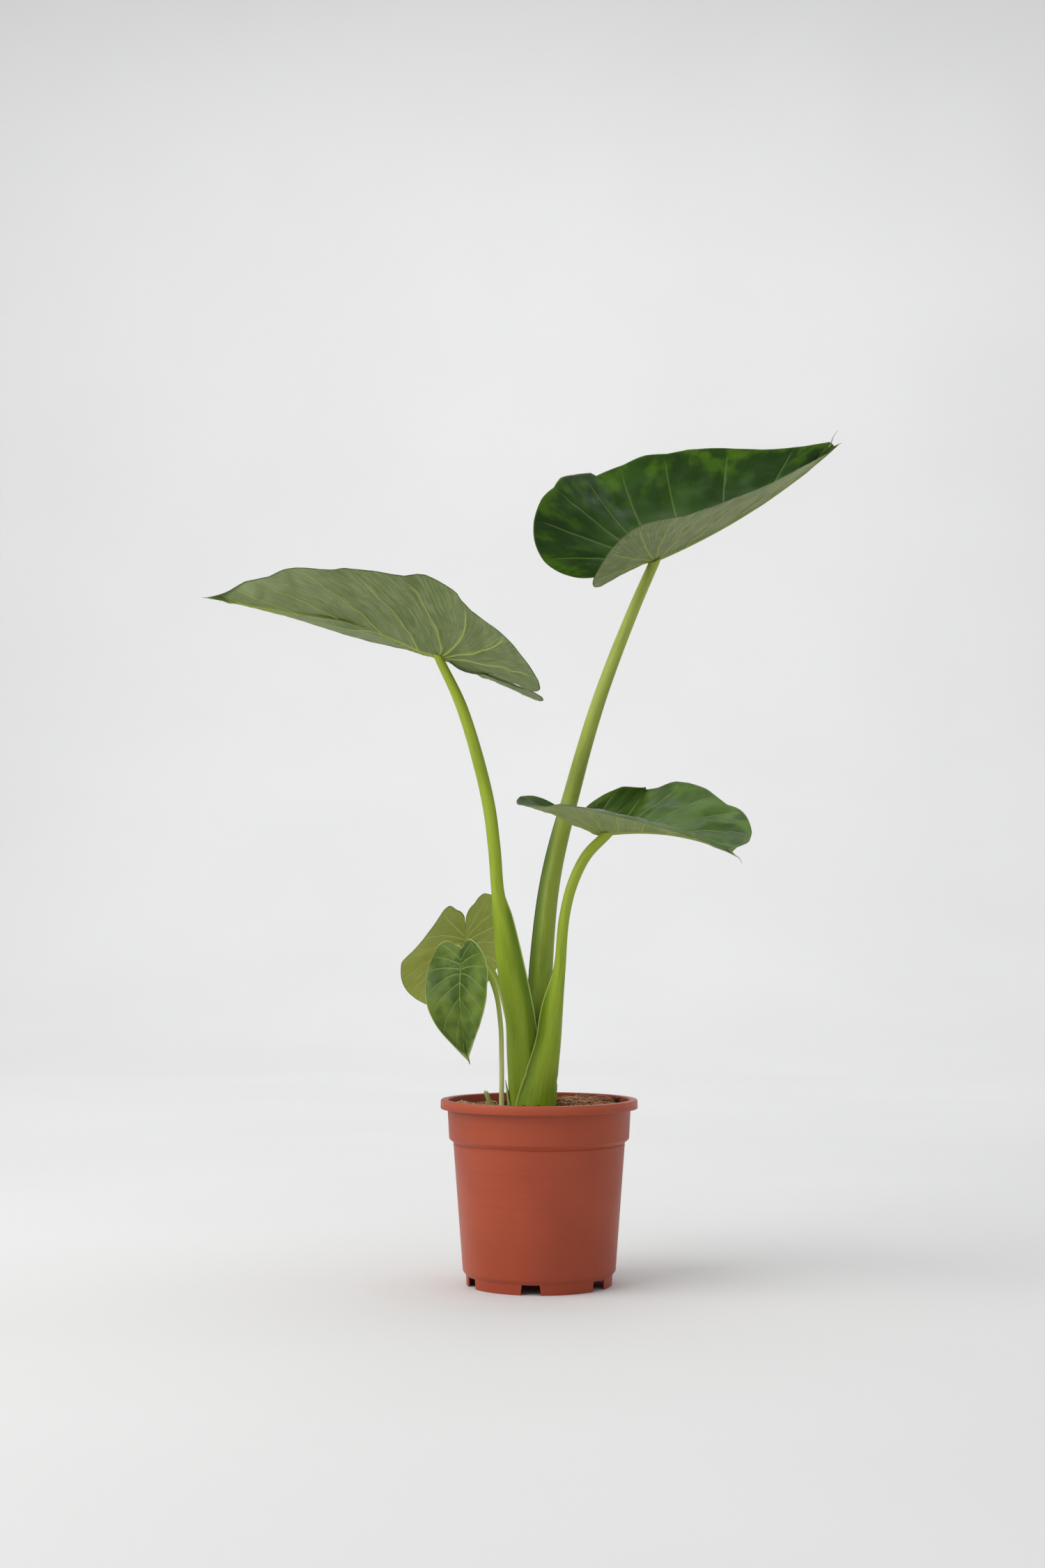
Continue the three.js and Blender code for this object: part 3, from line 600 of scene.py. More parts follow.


# ---------- stalks ----------

# x, y, height above the soil, half-width, half-depth, as in the CAD; pinch thins the
# sheath's free side: 1 is a thin edge. pinch also sets how dark the painted shade there is.
STALKS = {
    "petiole_top": dict(leaf="leaf_top", tip=5.2, free=-1, path=[
        (0, 14, 0, 12, 12, 0.0), (0.5, 18, 65, 12, 12, 0.25), (2, 27, 131, 11.5, 11.5, 0.55),
        (12, 38, 223, 9.8, 9.8, 0.6), (33, 44, 308, 8.1, 8.1, 0), (61, 48, 403, 6.8, 6.8, 0),
        (95, 51, 492, 5.8, 5.8, 0)]),
    "petiole_left": dict(leaf="leaf_left", tip=4.2, free=1, path=[
        (-13, 5, 0, 16, 11, 0.2), (-15.5, 3, 50, 15.5, 10.5, 0.4), (-18, 0, 85, 14.5, 9.5, 0.6),
        (-28.5, -5, 142, 13, 8, 0.7), (-35, -8, 183, 9.5, 7, 0.5), (-39.5, -10, 206, 6.4, 6.4, 0),
        (-43.5, -12.5, 253, 6.1, 6.1, 0), (-50, -14.5, 299, 6.1, 6.1, 0),
        (-74, -18, 385, 5.4, 5.4, 0)]),
    "petiole_right": dict(leaf="leaf_right", tip=4.8, free=-1, path=[
        (-3, -1, 0, 20, 13, 0.2), (2, -2, 30, 16.2, 12, 0.3), (8.5, -3, 62, 12.4, 10, 0.4),
        (12.8, -4, 97, 10.4, 8.5, 0.4), (19.6, -5, 133, 5.9, 6, 0.1), (24.2, -5.5, 182, 5.1, 5.1, 0),
        (32, -6.5, 215, 5.1, 5.1, 0), (46, -7.5, 244, 5.1, 5.1, 0)]),
    "petiole_small_front": dict(leaf="leaf_small_front", tip=1.9, free=0, path=[
        (-36, -20, 0, 2.4, 2.4, 0), (-36, -24, 50, 2.3, 2.3, 0), (-37, -28, 83, 2.3, 2.3, 0),
        (-42, -31, 114, 2.3, 2.3, 0), (-52, -33, 134, 2.3, 2.3, 0), (-65, -33, 138, 2.2, 2.2, 0)]),
    "petiole_small_back": dict(leaf="leaf_small_back", tip=2.2, free=0, path=[
        (-24, 24, 0, 3.4, 3.4, 0), (-26, 32, 60, 3.1, 3.1, 0), (-41, 43, 122, 2.8, 2.8, 0),
        (-56, 49, 145, 2.7, 2.7, 0)]),
}
ROOT_DEPTH = 34
CAD_BLADE, CAD_GAP = 1.2, 0.3
BESIDE = 1e9
NICK_SPREAD = 2.5
SHEATH_THINS, HOLLOW_LEAN = 0.75, 0.62  # the sheath's free side: how thin, where it is hollow
LIP_TURN, LIP_HEIGHT = 0.3, 0.35


def through(points, t):
    """Centripetal Catmull-Rom through 3-D points."""
    points = np.asarray(points, float)
    n = len(points)
    padded = np.vstack([2 * points[0] - points[1], points, 2 * points[-1] - points[-2]])
    out = []
    for place in (n - 1) * np.asarray(t, float):
        i = min(int(place), n - 2)
        w = place - i
        p = padded[i:i + 4]
        d = [max(np.linalg.norm(p[k + 1] - p[k]) ** 0.5, 1e-4) for k in range(3)]
        a = ((p[1] - p[0]) / d[0] - (p[2] - p[0]) / (d[0] + d[1]) + (p[2] - p[1]) / d[1]) * d[1]
        b = ((p[2] - p[1]) / d[1] - (p[3] - p[1]) / (d[1] + d[2]) + (p[3] - p[2]) / d[2]) * d[1]
        out.append(p[1] + a * w + (3 * (p[2] - p[1]) - 2 * a - b) * w ** 2
                   + (2 * (p[1] - p[2]) + a + b) * w ** 3)
    return np.array(out)


def stalk_path(name):
    stalk = STALKS[name]
    rows = [(x + AXIS[0], y + AXIS[1], z + SOIL_TOP, a, b, c) for x, y, z, a, b, c in stalk["path"]]
    x, y, z, a, b, c = rows[0]
    rows.insert(0, (x, y, z - ROOT_DEPTH, a, b, c))
    up = up_of(stalk["leaf"])
    end = root_of(stalk["leaf"]) - up * (CAD_BLADE / 2 + CAD_GAP)
    rows.append((*end, stalk["tip"], stalk["tip"], 0))
    return np.array(rows), up


def front_of(name):
    """A stalk's front as a function of x and height: y, or BESIDE where x is beside it."""
    rows, _ = stalk_path(name)
    t = np.linspace(0, 1, 400)
    centre = through(rows[:, :3], t)
    size = spline(rows[:, 3:5], t)
    order = np.argsort(centre[:, 2])
    z = centre[order, 2]

    def front(x, height):
        cx, cy = np.interp(height, z, centre[order, 0]), np.interp(height, z, centre[order, 1])
        w, d = np.interp(height, z, size[order, 0]), np.interp(height, z, size[order, 1])
        off = (x - cx) / w
        return cy - d * math.sqrt(1 - off * off) if abs(off) < 1 else BESIDE
    return front


def make_stalk(name, material, rings=96, sides=96, ridges=22, depth=0.1, over=(), nick=None):
    """A ribbed stalk that sheathes those it passes over. nick narrows it at a height, by a width."""
    stalk = STALKS[name]
    rows, up = stalk_path(name)
    free = stalk["free"]
    t = np.linspace(0, 1, rings + 1) ** 0.94
    centre = through(rows[:, :3], t)
    step = through(rows[:, :3], np.clip(t + 1e-4, 0, 1)) - through(rows[:, :3], np.clip(t - 1e-4, 0, 1))
    size = spline(rows[:, 3:6], t)
    fronts = [front_of(o) for o in over]
    verts, faces = [], []
    attrs = {k: [] for k in ("rise", "grain", "margin", "shade")}
    run = 0.0
    total = rows[-1, 2] - SOIL_TOP
    for i in range(rings + 1):
        c, tangent = centre[i], step[i] / np.linalg.norm(step[i])
        run += np.linalg.norm(centre[i] - centre[i - 1]) if i else 0
        across = np.cross((0, 1, 0), tangent)
        across /= np.linalg.norm(across)
        back = np.cross(tangent, across)
        w, d, pinch = size[i]
        pinch = max(pinch, 0)
        if nick:
            w -= nick[1] * math.exp(-((c[2] - SOIL_TOP - nick[0]) / NICK_SPREAD) ** 2)
        for k in range(sides):
            a = 2 * math.pi * k / sides
            ca, sa = math.cos(a), math.sin(a)
            groove = depth * math.cos(ridges * a) * min(1, w / 5) * (0.4 + 0.6 * abs(sa))
            groove += 0.012 * w * noise.noise(Vector((ca * 1.5, sa * 1.5, run / 40)))
            lean = max(0.0, free * ca)
            depth_here = d * (1 - pinch * SHEATH_THINS * lean ** 1.5)
            if sa < 0:
                depth_here -= 0.3 * d * pinch * math.exp(-((lean - HOLLOW_LEAN) / 0.2) ** 2)
            p = c + across * (w + groove) * ca + back * (depth_here + groove) * sa
            if i == rings:
                p = p - tangent * ((p - c).dot(up) / tangent.dot(up)) + up * 0.5
            if sa <= 1e-6 and p[2] > SOIL_TOP - 6:
                for front in fronts:
                    y = front(p[0], p[2])
                    if y < BESIDE:
                        p[1] = min(p[1], y - 1.0)
            lip = 0.0
            if free and pinch > 0.05:
                turn = math.acos(min(1.0, max(-1.0, free * ca)))
                lip = math.exp(-(max(0.0, turn - LIP_TURN) / 0.12) ** 2) if sa <= 0.02 else 0.0
                lip *= min(1.0, (pinch - 0.05) / 0.12)
                p = p + (across * ca + back * sa) * lip * LIP_HEIGHT
            verts.append(p)
            # Foot to top; on the tall stalks the paler top is partly painted light.
            attrs["rise"].append(min(1, max(0, (p[2] - SOIL_TOP) / total)))
            attrs["grain"].append((a * 8.0, run, 0.0))
            attrs["margin"].append(lip)
            # painted shade on the sheath's free side, in its hollow
            attrs["shade"].append(min(1.0, lean * 1.3) ** 1.5 * min(1.0, pinch * 2.0))
    for i in range(rings):
        join(faces, i * sides, (i + 1) * sides, sides)
    faces.append(list(range(sides))[::-1])
    faces.append([rings * sides + k for k in range(sides)])
    new_piece(name + "_skin", verts, faces, material, "stalk", [name], attrs, sharp=70)


# ---------- camera, light and floor ----------

camera = bpy.data.objects.new("camera", bpy.data.cameras.new("camera"))
camera.data.lens = 47.19
camera.data.sensor_width = 36
camera.data.clip_start = 0.05
camera.data.clip_end = 60
camera.location = (-0.016, -2.0, 0.3244)
camera.rotation_euler = (94.447 * DEG, 0, 0)
bpy.context.scene.collection.objects.link(camera)
bpy.context.scene.camera = camera
bpy.context.scene.view_settings.view_transform = "Standard"


def soft_lamp(name, place, towards, size, watts, colour=(1, 1, 1)):
    lamp = bpy.data.lights.new(name, "AREA")
    lamp.shape = "RECTANGLE"
    lamp.size, lamp.size_y = size
    lamp.energy = watts
    lamp.color = colour
    holder = bpy.data.objects.new(name, lamp)
    holder.location = place
    holder.rotation_euler = (Vector(towards) - Vector(place)).to_track_quat("-Z", "Y").to_euler()
    bpy.context.scene.collection.objects.link(holder)


soft_lamp("key", (-2.2, -1.2, 2.3), (0, 0, 0.35), (2.9, 2.9), 69, (1, 0.985, 0.96))
soft_lamp("top", (0.1, 0.4, 3.0), (0, 0, 0.3), (2.4, 2.4), 22, (0.98, 0.99, 1))
soft_lamp("wash", (0, 2.6, 3.3), (0, 5.2, 0.3), (6.0, 0.8), 68)
world = bpy.data.worlds.new("studio")
world.use_nodes = True
world.node_tree.nodes["Background"].inputs["Color"].default_value = (0.72, 0.725, 0.735, 1)
world.node_tree.nodes["Background"].inputs["Strength"].default_value = 0.69
bpy.context.scene.world = world


def make_floor():
    """A pale floor that curves up into a far wall, in metres."""
    path = [(y, 0.0) for y in np.linspace(-9, 3.2, 26)]
    path += [(3.2 + 2 * math.sin(a), 2 - 2 * math.cos(a)) for a in np.linspace(0.06, math.pi / 2, 24)]
    path += [(5.2, z) for z in np.linspace(2.4, 7, 10)]
    xs = np.linspace(-8, 8, 17)
    row = len(xs)
    faces = [[a, a + 1, a + 1 + row, a + row]
             for i in range(len(path) - 1) for a in range(i * row, (i + 1) * row - 1)]
    floor = add_mesh("studio_floor", [(x, y, z) for y, z in path for x in xs], faces, scale=1)
    floor.data.shade_smooth()
    k = Look("floor_look", roughness=0.85, specular=0.2)
    shades = [(grey, grey, grey, 1) for grey in (0.745, 0.765)]
    floor.data.materials.append(k.done(k.mix(k.fit(k.noise(scale=1.3, detail=2.0), 0.3, 0.7), *shades),
                                       normal=k.bump(k.noise(scale=60.0), 0.0003, 0.2)))


make_floor()

# ---------- leaves and stalks ----------

# Each row as in leaf_material: the second colour is partly painted sheen, the third is painted light shining
# through, and the fifth also paints the underside lighter towards the tip.
LEAF_COLOURS = {
    "leaf_left": ((44, 74, 12), (62, 92, 22), (84, 118, 24), (92, 110, 52),
                  (162, 174, 126), (104, 130, 52), (164, 178, 84), (56, 78, 34)),
    "leaf_top": ((30, 61, 0), (46, 82, 4), (84, 126, 2), (96, 112, 50),
                 (172, 180, 136), (92, 120, 46), (150, 166, 82), (74, 98, 30)),
    "leaf_right": ((48, 76, 14), (78, 108, 34), (96, 130, 26), (122, 138, 78),
                   (176, 186, 136), (122, 146, 78), (160, 176, 84), (92, 110, 48)),
    "leaf_small_front": ((56, 82, 4), (104, 126, 44), (96, 128, 16), (132, 150, 62),
                         (160, 174, 92), (126, 150, 66), (170, 186, 90), (172, 182, 116)),
    "leaf_small_back": ((92, 120, 24), (112, 138, 40), (120, 150, 30), (160, 174, 62),
                        (212, 218, 130), (150, 172, 70), (214, 220, 134), (100, 120, 40)),
}

make_leaf(
    "leaf_left", 1,
    frill={"left": [(0.1, 0), (0.15, 3.7), (0.18, 0), (0.207, -2.5), (0.222, 2), (0.24, 1.5),
                    (0.27, -2.2), (0.291, -2.7), (0.303, 0.5), (0.36, 0), (0.375, 1.5), (0.39, 9),
                    (0.4, 9.6), (0.42, 6), (0.45, -0.7), (0.48, -3.7), (0.51, -3), (0.56, 0),
                    (0.8, 0), (0.86, 9), (0.91, 16), (0.96, 11), (1, 0)]},
    arch=[(0.1, 0), (0.15, 1.5), (0.2, 5.5), (0.25, 7.5), (0.3, 6), (0.35, 3), (0.41, 0)],
    quilt=2.3, spurs=[dict(side="left", u=0.0, reach=((-2, 0, -0.2), (-4.5, 0, 0.4)), dry=0.9),
                      dict(side="right", u=0.7, reach=((1.5, 0, -0.6), (4, 0, -0.4)), dry=0.8)])
make_leaf(
    "leaf_top", 2, veins=(0.1, 0.19, 0.285, 0.375, 0.44, 0.5, 0.58, 0.66, 0.75),
    sweep=0.045, quilt=1.7, gloss=(0.24, 0.4),
    reach={"left": [(0.05, 0), (0.09, 8), (0.12, 6), (0.15, 3), (0.18, 1), (0.21, -0.7), (0.24, -0.7),
                    (0.27, 0.7), (0.3, 1.3), (0.33, -1.2), (0.36, 1), (0.39, -2.7), (0.42, -2.6),
                    (0.434, -3.2), (0.437, 1), (0.45, 0.7), (0.48, 0), (0.51, 1.3), (0.54, -3.4),
                    (0.575, 0), (0.8, 0)]},
    spurs=[dict(side="left", u=0.09, reach=((1.5, 0, 6), (7, 0, 14)), radius=1.0, dry=0.3),
           dict(side="left", u=0.0, reach=((1, 0, 0.3), (3, 0, 1)), radius=0.7, dry=0.8)])
make_leaf(
    "leaf_right", 3, rib=2.2, side_vein=1.3,
    frill={"right": [(0.6, 0), (0.68, 5.5), (0.76, 0)]},
    reach={"left": [(0.08, 0), (0.12, 3), (0.15, 9.5), (0.18, 8), (0.21, 3.5), (0.24, 0), (0.27, -4),
                    (0.3, -0.5), (0.33, 3.5), (0.36, 4.5), (0.39, 5), (0.413, -3), (0.45, -2.7),
                    (0.54, -2.5), (0.6, 0), (0.66, 3.5), (0.69, 1.5), (0.74, 0)]},
    quilt=2.5, spurs=[dict(side="left", u=0.0, reach=((2.6, 0, -2), (5, 0, -7)), radius=0.8, dry=0.4)])
make_leaf("leaf_small_front", 4, rib=1.2, quilt=1.5, side_vein=0.7, gloss=(0.2, 0.36), patch=32.0)
make_leaf("leaf_small_back", 5, rib=1.3, quilt=1.2, side_vein=0.8, patch=26.0)

stalk_look = stalk_material("stalk_look", (144, 172, 34), (168, 186, 58), (84, 118, 4), (192, 206, 96),
                            (206, 218, 128))
stalk_top_look = stalk_material("stalk_top_look", (122, 148, 28), (184, 196, 92), (82, 110, 10),
                                (178, 194, 90), (52, 68, 16))
small_stalk_look = stalk_material("small_stalk_look", (232, 236, 160), (164, 186, 62), (140, 162, 48),
                                  (212, 220, 136), (212, 220, 136))

make_stalk("petiole_top", stalk_top_look)
make_stalk("petiole_left", stalk_look)
make_stalk("petiole_right", stalk_look, over=("petiole_left", "petiole_top"), nick=(30, 0.9))
for name in ("petiole_small_front", "petiole_small_back"):
    make_stalk(name, small_stalk_look, rings=60, sides=24, ridges=7, depth=0.06)

# ---------- pot ----------

COLLAR_HEIGHT, STEP_HEIGHT, FOOT_HEIGHT = 36.5, 4.5, 9.5
RIM_HEIGHT, RIM_WIDTH, WALL, LIP = 8.5, 7.6, 1.3, 1.5
COLLAR_TAPER, STEP_IN, SIDE_TAPER, FOOT_IN = 2, 4.1, 9.3, 3.1
STEP_TOP = POT_TOP - COLLAR_HEIGHT
STEP_FOOT = STEP_TOP - STEP_HEIGHT
SIDE_START = FOOT_HEIGHT + 4
WALL_OUTSIDE = RIM - RIM_WIDTH + WALL
UNDER_COLLAR = WALL_OUTSIDE - COLLAR_TAPER
UNDER_STEP = UNDER_COLLAR - STEP_IN
SIDE_FOOT = UNDER_STEP - SIDE_TAPER
FOOT = SIDE_FOOT - FOOT_IN
NOTCHES, NOTCH_TURN, NOTCH_HALF_FOOT, NOTCH_HALF_TOP = 6, -7, 9.8, 8.4
DRAIN_RADIUS, DRAIN_INSET, DRAIN_SIDES = 5.5, 11.8, 24


def rounded(profile, radius=0.32, steps=3):
    """The profile with each corner replaced by a small curve."""
    out = [profile[0]]
    for a, b, c in zip(profile, profile[1:], profile[2:]):
        a, b, c = (np.array(q, float) for q in (a, b, c))
        near, far = np.linalg.norm(a - b), np.linalg.norm(c - b)
        cut = min(radius, near * 0.4, far * 0.4)
        start, end = b + (a - b) / near * cut, b + (c - b) / far * cut
        for k in range(steps + 1):
            w = k / steps
            out.append(tuple((1 - w) ** 2 * start + 2 * w * (1 - w) * b + w * w * end))
    out.append(profile[-1])
    return out


def lathe(profile, segments):
    """Points and faces of a closed solid turned about the pot's axis."""
    verts, faces, rows = [], [], []
    for r, z in profile:
        if r < 1e-6:
            rows.append([len(verts)] * segments)
            verts.append((*AXIS, z))
            continue
        rows.append(list(range(len(verts), len(verts) + segments)))
        verts += [(*around(r, 2 * math.pi * k / segments), z) for k in range(segments)]
    for low, high in zip(rows, rows[1:]):
        for k in range(segments):
            n = (k + 1) % segments
            face = [low[k], low[n], high[n], high[k]]
            faces.append([c for i, c in enumerate(face) if c not in face[:i]])
    return verts, faces


def pot_profile():
    body = [(SIDE_FOOT, SIDE_START)]
    for i in range(1, 26):
        share = i / 26
        z = SIDE_START + (STEP_FOOT - SIDE_START) * share
        low = math.exp(-((z - 27) / 9) ** 2)
        body.append((UNDER_STEP - SIDE_TAPER * (1 - share) + 0.09 * low * math.cos(z * 1.9), z))
    under_rim = POT_TOP - RIM_HEIGHT
    return [
        (0, FOOT_HEIGHT), (FOOT - 1.8, FOOT_HEIGHT), (FOOT - 1.8, 0), (FOOT - 0.4, 0),
        (FOOT, FOOT_HEIGHT), *body,
        (UNDER_STEP, STEP_FOOT - 1.3), (UNDER_STEP - 0.6, STEP_FOOT - 0.7), (UNDER_STEP - 0.5, STEP_FOOT),
        (UNDER_COLLAR - 0.3, STEP_TOP - 0.9), (UNDER_COLLAR, STEP_TOP), (WALL_OUTSIDE - 1.15, STEP_TOP + 16),
        (WALL_OUTSIDE, POT_TOP - LIP), (RIM - LIP, POT_TOP - LIP), (RIM - LIP, under_rim),
        (RIM - 0.3, under_rim), (RIM, under_rim + 0.8), (RIM - 0.15, POT_TOP - 0.9), (RIM - 0.9, POT_TOP),
        (WALL_OUTSIDE - WALL + 0.6, POT_TOP), (WALL_OUTSIDE - WALL, POT_TOP - 0.8),
        (UNDER_COLLAR - WALL, STEP_TOP), (UNDER_STEP - WALL, STEP_FOOT),
        (SIDE_FOOT - WALL, SIDE_START + WALL), (FOOT - WALL, FOOT_HEIGHT + 1.6), (0, FOOT_HEIGHT + 1.6)]


def make_pot(material):
    """The pot's wall turned in one piece, less its foot's notches and its drain holes."""
    shell = add_mesh("pot_shell", *lathe(rounded(pot_profile()), 168))
    notch = [(x, y, z) for y in (-FOOT - 3, -FOOT + 6)
             for z, half in ((-2, NOTCH_HALF_FOOT), (FOOT_HEIGHT - 0.02, NOTCH_HALF_TOP))
             for x in (-half, half)]
    notch_faces = [[0, 1, 3, 2], [4, 6, 7, 5], [0, 4, 5, 1], [2, 3, 7, 6], [0, 2, 6, 4], [1, 5, 7, 3]]
    turns = [2 * math.pi * k / DRAIN_SIDES for k in range(DRAIN_SIDES)]
    drain = [(DRAIN_RADIUS * math.cos(a), -FOOT + DRAIN_INSET + DRAIN_RADIUS * math.sin(a), z)
             for z in (FOOT_HEIGHT - 4, FOOT_HEIGHT + 4) for a in turns]
    drain_faces = []
    join(drain_faces, 0, DRAIN_SIDES, DRAIN_SIDES)
    drain_faces += [list(range(DRAIN_SIDES))[::-1], list(range(DRAIN_SIDES, 2 * DRAIN_SIDES))]
    cutters = []
    for i in range(NOTCHES):
        turn = (NOTCH_TURN + 360 / NOTCHES * i) * DEG
        c, s = math.cos(turn), math.sin(turn)
        for label, points, faces in (("notch", notch, notch_faces), ("drain", drain, drain_faces)):
            turned = [(AXIS[0] + x * c - y * s, AXIS[1] + x * s + y * c, z) for x, y, z in points]
            cutters.append(add_mesh(f"{label}_{i}", turned, faces))
    for cutter in cutters:
        cut = shell.modifiers.new("cut", "BOOLEAN")
        cut.operation, cut.solver, cut.object = "DIFFERENCE", "EXACT", cutter
    bpy.context.view_layer.update()
    mesh = bpy.data.meshes.new_from_object(shell.evaluated_get(bpy.context.evaluated_depsgraph_get()))
    verts = np.array([v.co for v in mesh.vertices]) / MM
    faces = [list(f.vertices) for f in mesh.polygons]
    for o in [shell, *cutters]:
        bpy.data.objects.remove(o, do_unlink=True)
    radius = np.hypot(verts[:, 0] - AXIS[0], verts[:, 1] - AXIS[1])
    # Lighter along the rim's outer top corner.
    rim_corner_band = np.clip((radius - (RIM - 1.1)) / 1.1, 0, 1) * (np.abs(verts[:, 2] - (POT_TOP - 0.6)) < 1.2)
    new_piece("nursery_pot_shell", verts, faces, material, "pot_plastic", ["nursery_pot"],
              {"rim_corner_band": rim_corner_band}, sharp=28)


# ---------- soil and what lies on it ----------

SOIL_GAP = 0.3  # between the soil and the pot's wall
SOIL_EDGE = WALL_OUTSIDE - WALL - COLLAR_TAPER * (POT_TOP - SOIL_TOP - LIP) / (COLLAR_HEIGHT - LIP) - SOIL_GAP


def soil_height(x, y):
    x, y = x - AXIS[0], y - AXIS[1]
    broad = math.sin(x / 11 + 0.7) * math.cos(y / 13 + 0.3) + 0.6 * math.sin((x + 2 * y) / 9)
    return SOIL_TOP + 2 * math.exp(-(x * x + y * y) / 1800) + 0.96 * broad


def make_soil(material):
    """The crumbly surface over a plain body of soil."""
    rings, segments = 84, 220
    turns = [2 * math.pi * k / segments for k in range(segments)]
    verts, faces = [(*AXIS, soil_height(*AXIS))], []
    for i in range(1, rings + 1):
        for a in turns:
            x, y = around(SOIL_EDGE * (i / rings), a)
            q = Vector((x, y, 0))
            grain = 1.1 * noise.noise(q / 5.5) + 0.75 * noise.noise(q / 2.2) + 0.5 * noise.noise(q / 1.1)
            crumb = 1.3 * max(0.0, noise.noise(q / 3.1 + Vector((9, 4, 2))) - 0.18) * 2
            edge = min(1.0, (rings - i) / 4)
            verts.append((x, y, (soil_height(x, y) + grain + crumb) * edge + (1 - edge) * (SOIL_TOP - 1)))
    faces += [[0, 1 + k, 1 + (k + 1) % segments] for k in range(segments)]
    for i in range(rings - 1):
        join(faces, 1 + i * segments, 1 + (i + 1) * segments, segments, flip=True)
    for r, z in ((UNDER_STEP - WALL - SOIL_GAP + 2.4, STEP_TOP), (UNDER_STEP - WALL - SOIL_GAP, STEP_FOOT),
                 (SIDE_FOOT - WALL - SOIL_GAP, SIDE_START + 1.6), (FOOT - WALL - 0.6, FOOT_HEIGHT + 2)):
        join(faces, len(verts) - segments, len(verts), segments, flip=True)
        verts += [(*around(r, a), z) for a in turns]
    faces.append([len(verts) - segments + k for k in range(segments)][::-1])
    new_piece("potting_soil_crumb", verts, faces, material, "soil", ["potting_soil"])


def lump(centre, size, seed, level=3, rough=0.35, fine=0.12, angular=0.0, turn=0.0):
    """A rough closed lump."""
    bm = bmesh.new()
    bmesh.ops.create_icosphere(bm, subdivisions=level, radius=1)
    shift = Vector((seed * 3.7, seed * 1.9, seed * 2.3))
    c, s = math.cos(turn), math.sin(turn)
    verts = []
    for v in bm.verts:
        p = v.co.copy()
        bump = 1 + rough * noise.noise(p * 1.4 + shift) + fine * noise.noise(p * 5 + shift)
        if angular:
            squared = Vector((math.copysign(abs(p.x) ** 0.8, p.x), p.y, math.copysign(abs(p.z) ** 0.6, p.z)))
            p = squared * (1 - angular * abs(noise.noise(p * 2.3 - shift)))
        x, y, z = (p[axis] * size[axis] * bump for axis in range(3))
        verts.append((centre[0] + x * c - y * s, centre[1] + x * s + y * c, centre[2] + z))
    faces = [[v.index for v in f.verts] for f in bm.faces]
    bm.free()
    return verts, faces


def gather(shapes):
    verts, faces = [], []
    for v, f in shapes:
        faces += [[i + len(verts) for i in face] for face in f]
        verts += v
    return verts, faces


def centre_of(node):
    lo, hi = box_mm(node)
    return (lo + hi) / 2, (hi - lo) / 2


STRAND_RINGS, STRAND_SIDES = 9, 5


def fibre(rng, start, heading, length, radius, rise, curl=0.6):
    """The path and sizes of a thin bent strand along the soil."""
    path, p, a = [], np.array(start, float), heading
    bend = rng.uniform(-curl, curl)
    arch = rng.uniform(0.2, 1.0) * length * 0.14
    for t in np.linspace(0, 1, STRAND_RINGS):
        path.append(np.array([p[0], p[1], p[2] + rise * t + arch * math.sin(math.pi * t)]))
        p = p + np.array([math.cos(a), math.sin(a), 0]) * length / (STRAND_RINGS - 1)
        a += bend / STRAND_RINGS * 3 + rng.uniform(-0.12, 0.12)
    return path, radius * (1 - 0.5 * np.linspace(0, 1, STRAND_RINGS) ** 2)


def make_fibres(name, material, spots, count, seed, nodes, length=(8, 30), radius=(0.16, 0.42), extra=()):
    """A tangle of strands about spots of x, y, their spread and the most height."""
    rng = random.Random(seed)
    verts, faces, tint, grain = [], [], [], []
    strands = list(extra)
    for _ in range(count):
        x, y, spread_x, spread_y, high = rng.choice(spots)
        px, py = x + rng.gauss(0, spread_x), y + rng.gauss(0, spread_y)
        out = math.hypot(px - AXIS[0], py - AXIS[1])
        size = rng.uniform(*length)
        if out > SOIL_EDGE - 4:
            px, py = (mid + (q - mid) * (SOIL_EDGE - 6) / out for q, mid in zip((px, py), AXIS))
        heading = rng.uniform(0, 2 * math.pi)
        far = (px + math.cos(heading) * size, py + math.sin(heading) * size)
        if math.hypot(far[0] - AXIS[0], far[1] - AXIS[1]) > SOIL_EDGE - 3:
            heading += math.pi
        z = soil_height(px, py) + rng.uniform(-0.3, high)
        strands.append(((px, py, z), heading, size, rng.uniform(*radius), rng.uniform(-0.8, 1.6)))
    for strand in strands:
        before = len(verts)
        tube(*fibre(rng, *strand), STRAND_SIDES, verts, faces)
        shade = rng.random()
        for i in range(len(verts) - before):
            tint.append(shade)
            grain.append((i % STRAND_SIDES * 1.3, i // STRAND_SIDES * 3.0, shade * 40))
    new_piece(name, verts, faces, material, "coir", nodes, {"tint": tint, "grain": grain})


